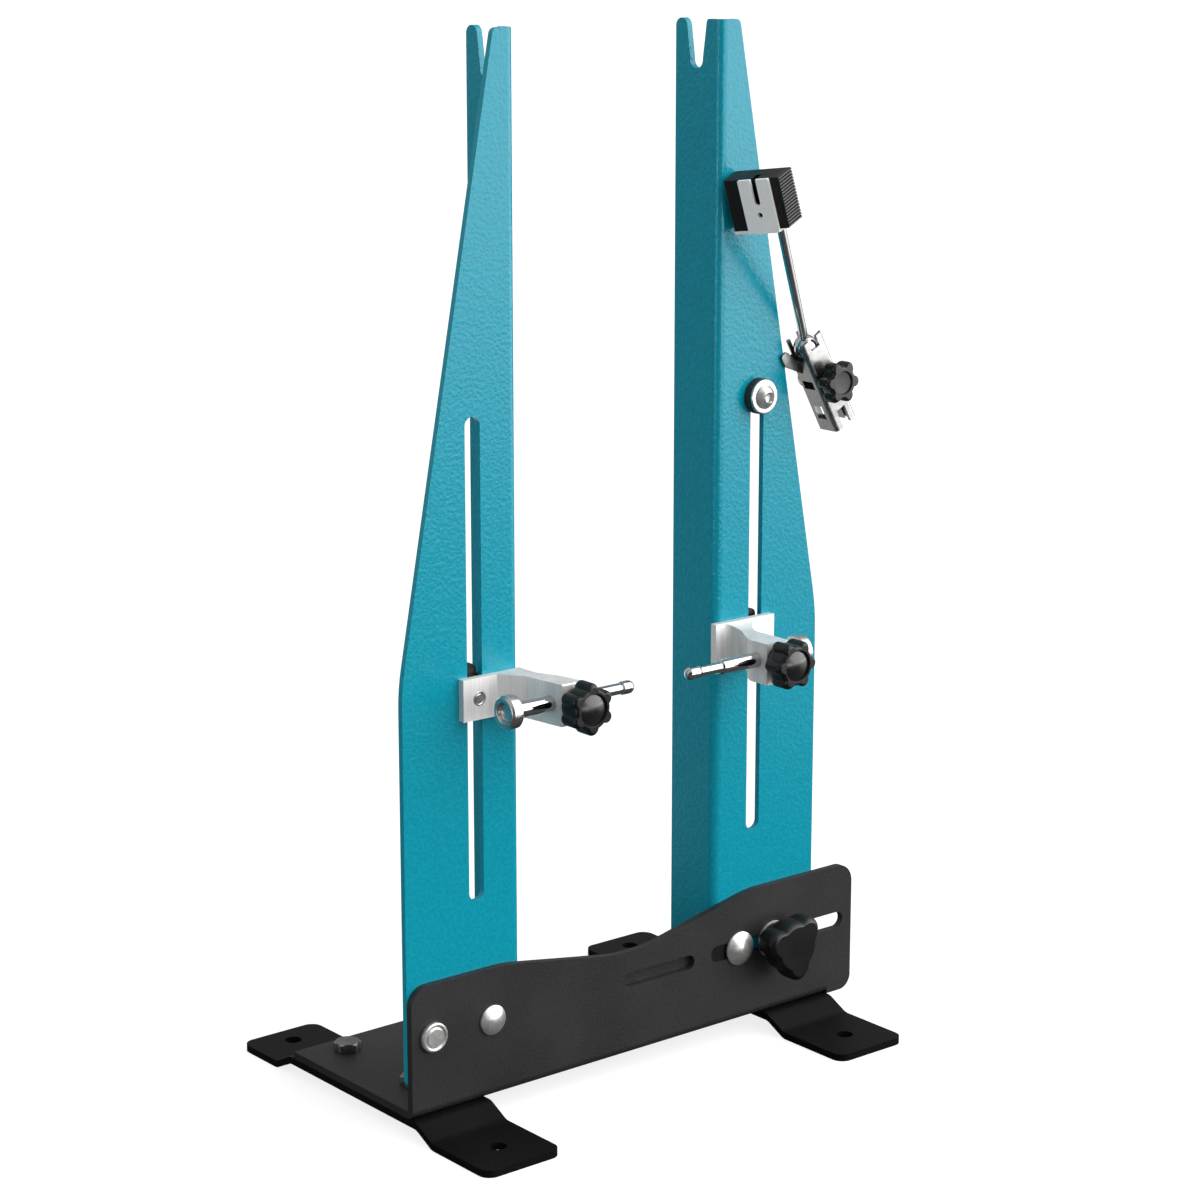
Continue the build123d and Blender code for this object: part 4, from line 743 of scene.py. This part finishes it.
height = along_front("gauge_clamp_knob")[1] - SMALL_COLLAR_HEIGHT
rows = knob_rows(SMALL_COLLAR, SMALL_COLLAR_HEIGHT, SMALL_REACH, height, SMALL_EASE, SMALL_SUNK,
                 SMALL_SUNK_DEPTH)
outline = round_lobes(SMALL_LOBES, SMALL_REACH, SMALL_LOBE, SMALL_HUB, 0.0, SMALL_SOFTNESS)
screw_centre = span("gauge_knob_insert")[0]
lobed_knob("gauge_clamp_knob", "moulded_gauge_knob", "gauge_knob", screw_centre, rows, outline)


# %% [markdown]
# ## Bolts, nuts and washers
#
# A nut is six flat sides whose corners are turned off at both ends. In the grid that is a row
# that follows the hexagon next to a row that is round. Threads only show where a bolt comes out
# of its nut, and they are real grooves there, one turn for each step of the pitch.

# %% Fastener profiles
FLATS, NUT_BORE, CORNER_CUT, CORNER_SLOPE = 10.0, 3.05, 0.1, 0.75
WASHER_BORE, WASHER_EASE, ROUND_EASE = 3.1, 0.18, 0.7
THREAD_DEPTH, THREAD_START, THREAD_ROWS = 0.54, 0.35, 7


def hexagon(angle):
    """Distance to a side of a hexagon with flats at 1, over the angle."""
    return 1.0 / np.cos((angle + TURN / 12) % (TURN / 6) - TURN / 12)


def turned_hexagon(angle):
    return hexagon(angle + TURN / 12)


def nut_rows(height):
    """Closed loop of rows: bore, round face, hexagonal sides, round face, and back."""
    side = FLATS / 2
    inner = rows_of([(NUT_BORE + 0.5, 0), (NUT_BORE, 0.5), (NUT_BORE, height - 0.5),
                     (NUT_BORE + 0.5, height)])
    outer_top = rows_of([(side - CORNER_CUT, height)])
    sides = rows_of([(side, height - CORNER_SLOPE), (side, CORNER_SLOPE)], follow=1.0)
    outer_low = rows_of([(side - CORNER_CUT, 0)])
    return np.concatenate([inner, outer_top, sides, outer_low])[::-1]


def washer_rows(height, radius, ease):
    """Closed loop of rows round a flat ring with eased edges."""
    loop = rounded([(WASHER_BORE, height / 2), (WASHER_BORE, height), (radius, height),
                    (radius, 0), (WASHER_BORE, 0), (WASHER_BORE, height / 2)], ease)
    return rows_of(loop[:-1])[::-1]


def shank_rows(length, radius, threaded, pitch=1.0):
    """Shank from its free end. The first stretch has a thread, and the rest is plain."""
    depth = THREAD_DEPTH * pitch
    turns = np.arange(THREAD_START, threaded, pitch / THREAD_ROWS)
    thread = rows_of(np.stack([np.full(len(turns), radius), turns], axis=-1), thread=depth)
    start = rows_of([(radius - depth - 0.15, 0)])
    plain = rows_of([(radius, threaded + 0.1), (radius, length)])
    return np.concatenate([start, thread, plain])


def flat_head(base, height, radius):
    """Flat head with a turned ring in its face."""
    top, ring_floor = base + height, base + height - 0.45
    return rows_of(rounded([
        (radius - 0.2, base), (radius, base + 0.3), (radius, top - 0.5), (radius - 0.5, top),
        (radius - 1.2, top), (radius - 1.5, ring_floor), (radius - 2.0, ring_floor),
        (radius - 2.3, top), (0.3, top)], 0.25))


def domed_head(base, height, radius, edge, socket=0.0, depth=0.0):
    """Head whose face is a parabola, with a hexagonal socket where it has one."""
    innermost = (socket / 2 + 0.25) / radius if socket else 0.04
    share = np.linspace(0.98, innermost, 14)
    rise = base + edge + (height - edge) * (1 - share ** 2)
    rim = rows_of([(radius - 0.1, base), (radius, base + 0.15), (radius, base + edge)])
    face = rows_of(np.stack([radius * share, rise], axis=-1))
    if not socket:
        return np.concatenate([rim, face])
    mouth = rise[-1]
    well = rows_of([(socket / 2, mouth - 0.25), (socket / 2, mouth - depth)], follow=1.0)
    well_floor = rows_of([(FACE_END, mouth - depth - 0.35)])
    return np.concatenate([rim, face, well, well_floor])


# %% Bolts along the front plate and the stop
BOLT_RADIUS, BOLT_THREAD = 3.0, 5.5
# Each bolt has its node, name, body, kind of head and head height, then the head's radius. A
# domed head adds the height of its edge, and a socket adds its width and depth.
BOLTS = (
    ("left_flat_bolt", "flat_head_bolt", "stand", flat_head, 2.0, 6.0),
    ("left_domed_bolt", "domed_head_bolt", "stand", domed_head, 3.0, 6.0, 0.8),
    ("carriage_bolt", "round_head_bolt", "sliding_upright", domed_head, 4.1, 7.2, 0.8),
    ("stop_bolt", "socket_head_bolt", "sliding_upright", domed_head, 3.41, 4.8, 0.4, 4.0, 1.8),
)

for node, name, body, head, head_height, *sizes in BOLTS:
    start, depth = along_front(node)
    length = depth - head_height
    shank = shank_rows(length, BOLT_RADIUS, BOLT_THREAD)
    rows = np.concatenate([shank, head(length, head_height, *sizes)])
    grid = aimed(turned(rows, hexagon), start, FRONT)
    skin(name, [grid], zinc, body, node)

# %% Nuts and washers
def nut(node, name, body, centres):
    """One piece for all the nuts of a node, each centred on a given (x, z)."""
    (_, back, _), depth = along_front(node)
    shape = turned(nut_rows(depth), turned_hexagon)
    grids = [aimed(shape, (x, back, z), FRONT) for x, z in centres]
    skin(name, grids, zinc, body, node, ring=True)


def centre_xz(node):
    middle = span(node)[0]
    return middle[0], middle[2]


nut("left_bolt_nuts", "pair_of_hex_nuts", "stand",
    [centre_xz("left_flat_bolt"), centre_xz("left_domed_bolt")])
nut("carriage_bolt_nut", "bolt_hex_nut", "sliding_upright", [centre_xz("carriage_bolt_nut")])
nut("stop_nut", "stop_hex_nut", "sliding_upright", [centre_xz("stop_nut")])

for node, name, finish, slot_name, ease in (
        ("clamp_washer", "plain_washer", zinc, "zinc_steel", WASHER_EASE),
        ("stop_washer", "bright_washer", satin_steel, "zinc_steel", ROUND_EASE),
        ("stop_rubber", "rubber_ring", rubber, "black_rubber", WASHER_EASE)):
    start, depth = along_front(node)
    middle, low, high = span(node)
    grid = aimed(turned(washer_rows(depth, (high[0] - low[0]) / 2, ease)), start, FRONT)
    skin(name, [grid], finish, "sliding_upright", node, ring=True)


# %% [markdown]
# ## Foot bolts
#
# Four hexagon bolts hold the strips to the base. They stand upright, so their height runs up.
# All four are one piece, as they are one node of the stand, and so are their nuts below.

# %% Hexagon bolts in the base
FOOT_SHANK, FOOT_THREAD, FOOT_HEAD_HEIGHT = 9.0, 3.5, 4.0

low, high = span("foot_bolts")[1:]
strip_x = span("right_foot_strip")[0][0]
places_y = (low[1] + FLATS / 2, high[1] - FLATS / 2)
bolt_places = [(x, y) for x in (-strip_x, strip_x) for y in places_y]
half_flats, head_top = FLATS / 2, FOOT_SHANK + FOOT_HEAD_HEIGHT
rows = np.concatenate([
    shank_rows(FOOT_SHANK, BOLT_RADIUS, FOOT_THREAD),
    rows_of([(half_flats - CORNER_CUT, FOOT_SHANK)]),
    rows_of([(half_flats, FOOT_SHANK + 0.2), (half_flats, head_top - 0.6)], follow=1.0),
    rows_of([(half_flats - CORNER_CUT, head_top - 0.05), (half_flats - 0.5, head_top),
             (FACE_END, head_top)])])
shape = turned(rows, turned_hexagon)
grids = [aimed(shape, (x, y, low[2]), UP) for x, y in bolt_places]
skin("hexagon_foot_bolts", grids, dull_zinc, "stand", "foot_bolts")

low, high = span("foot_nuts")[1:]
shape = turned(nut_rows(high[2] - low[2]), turned_hexagon)
grids = [aimed(shape, (x, y, low[2]), UP) for x, y in bolt_places]
skin("thin_foot_nuts", grids, dull_zinc, "stand", "foot_nuts", ring=True)


# %% [markdown]
# ## Small turned pieces
#
# What is left is small: the pins that hold each arm to its runner, a set screw, and the gauge's
# ball and rod. Three screws that hardly show keep their own solids.

# %% Runner pins
PIN_STEPS, PIN_SHANK, PIN_HEAD, PIN_HEAD_HEIGHT = 64, 2.4, 2.9, 3.0


def pin_rows(length):
    """Tail, shoulder, and a face with a fine ring cut into it."""
    ring_floor = length - 0.3
    return rows_of(rounded([
        (PIN_SHANK - 0.2, 0), (PIN_SHANK, 0.2), (PIN_SHANK, length - PIN_HEAD_HEIGHT - 0.1),
        (PIN_HEAD, length - PIN_HEAD_HEIGHT), (PIN_HEAD, length - 0.25), (PIN_HEAD - 0.25, length),
        (2.3, length), (2.1, ring_floor), (1.8, ring_floor), (1.6, length), (0.2, length)], 0.12))


for side in ("left", "right"):
    start, length = along_front(side + "_runner_pin")
    grid = aimed(turned(pin_rows(length), steps=PIN_STEPS), start, FRONT)
    skin(side + "_ringed_pin", [grid], satin_steel, side + "_carriage", side + "_runner_pin")

# %% Set screw and plain screws
SCREW_STEPS, SCREW_RADIUS, SCREW_PITCH = 72, 2.2, 0.7
SOCKET_RADIUS, SOCKET_DEPTH = 1.0, 2.0

middle, low, high = span("left_set_screw")
length = high[0] - low[0]
rows = np.concatenate([
    shank_rows(length - 0.4, SCREW_RADIUS, length - 0.8, SCREW_PITCH),
    rows_of([(SCREW_RADIUS - 0.3, length), (SOCKET_RADIUS + 0.2, length)]),
    rows_of([(SOCKET_RADIUS, length - 0.2), (SOCKET_RADIUS, length - SOCKET_DEPTH)], follow=1.0),
    rows_of([(0.2, length - SOCKET_DEPTH - 0.2)])])
grid = turned(rows, hexagon, SCREW_STEPS, SCREW_PITCH)
grid = aimed(grid, (high[0], middle[1], middle[2]), (-1, 0, 0))
skin("socket_set_screw", [grid], dark_zinc, "left_carriage", "left_set_screw")

for node in ("clamp_stud", "gauge_jaw_screw", "gauge_screw"):
    dress(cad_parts[node], zinc)
print("small pieces are dressed")

# %% Ball and rod of the gauge
BALL_STEPS, BALL_RADIUS, BALL_POLE = 72, 5.0, 1.53
GAUGE_ROD_RADIUS, GAUGE_ROD_EASE = 1.8, 0.2
LEAN_LEFT, LEAN_FRONT = math.radians(30.0), math.radians(18.0)

rod_way = np.array([-math.tan(LEAN_LEFT), -math.tan(LEAN_FRONT), 1.0])
rod_way = rod_way / np.linalg.norm(rod_way)
ball_middle = span("gauge_ball")[0]
latitude = np.linspace(-BALL_POLE, BALL_POLE, 40)
ball = np.stack([BALL_RADIUS * np.cos(latitude), BALL_RADIUS * np.sin(latitude)], axis=-1)
grid = aimed(turned(rows_of(ball), steps=BALL_STEPS), ball_middle, rod_way)
skin("polished_ball", [grid], polished, "gauge_ball_body", "gauge_ball")

rod_top = span("gauge_rod")[2][2] - GAUGE_ROD_RADIUS * math.hypot(rod_way[0], rod_way[1])
rod_end = (rod_top - ball_middle[2]) / rod_way[2]
rod = rows_of([
    (GAUGE_ROD_RADIUS - GAUGE_ROD_EASE, BALL_RADIUS + 0.1), (GAUGE_ROD_RADIUS, BALL_RADIUS + 0.3),
    (GAUGE_ROD_RADIUS, rod_end - GAUGE_ROD_EASE), (GAUGE_ROD_RADIUS - GAUGE_ROD_EASE, rod_end)])
grid = aimed(turned(rod, steps=BALL_STEPS), ball_middle, rod_way)
skin("slim_rod", [grid], polished, "gauge_arm", "gauge_rod")
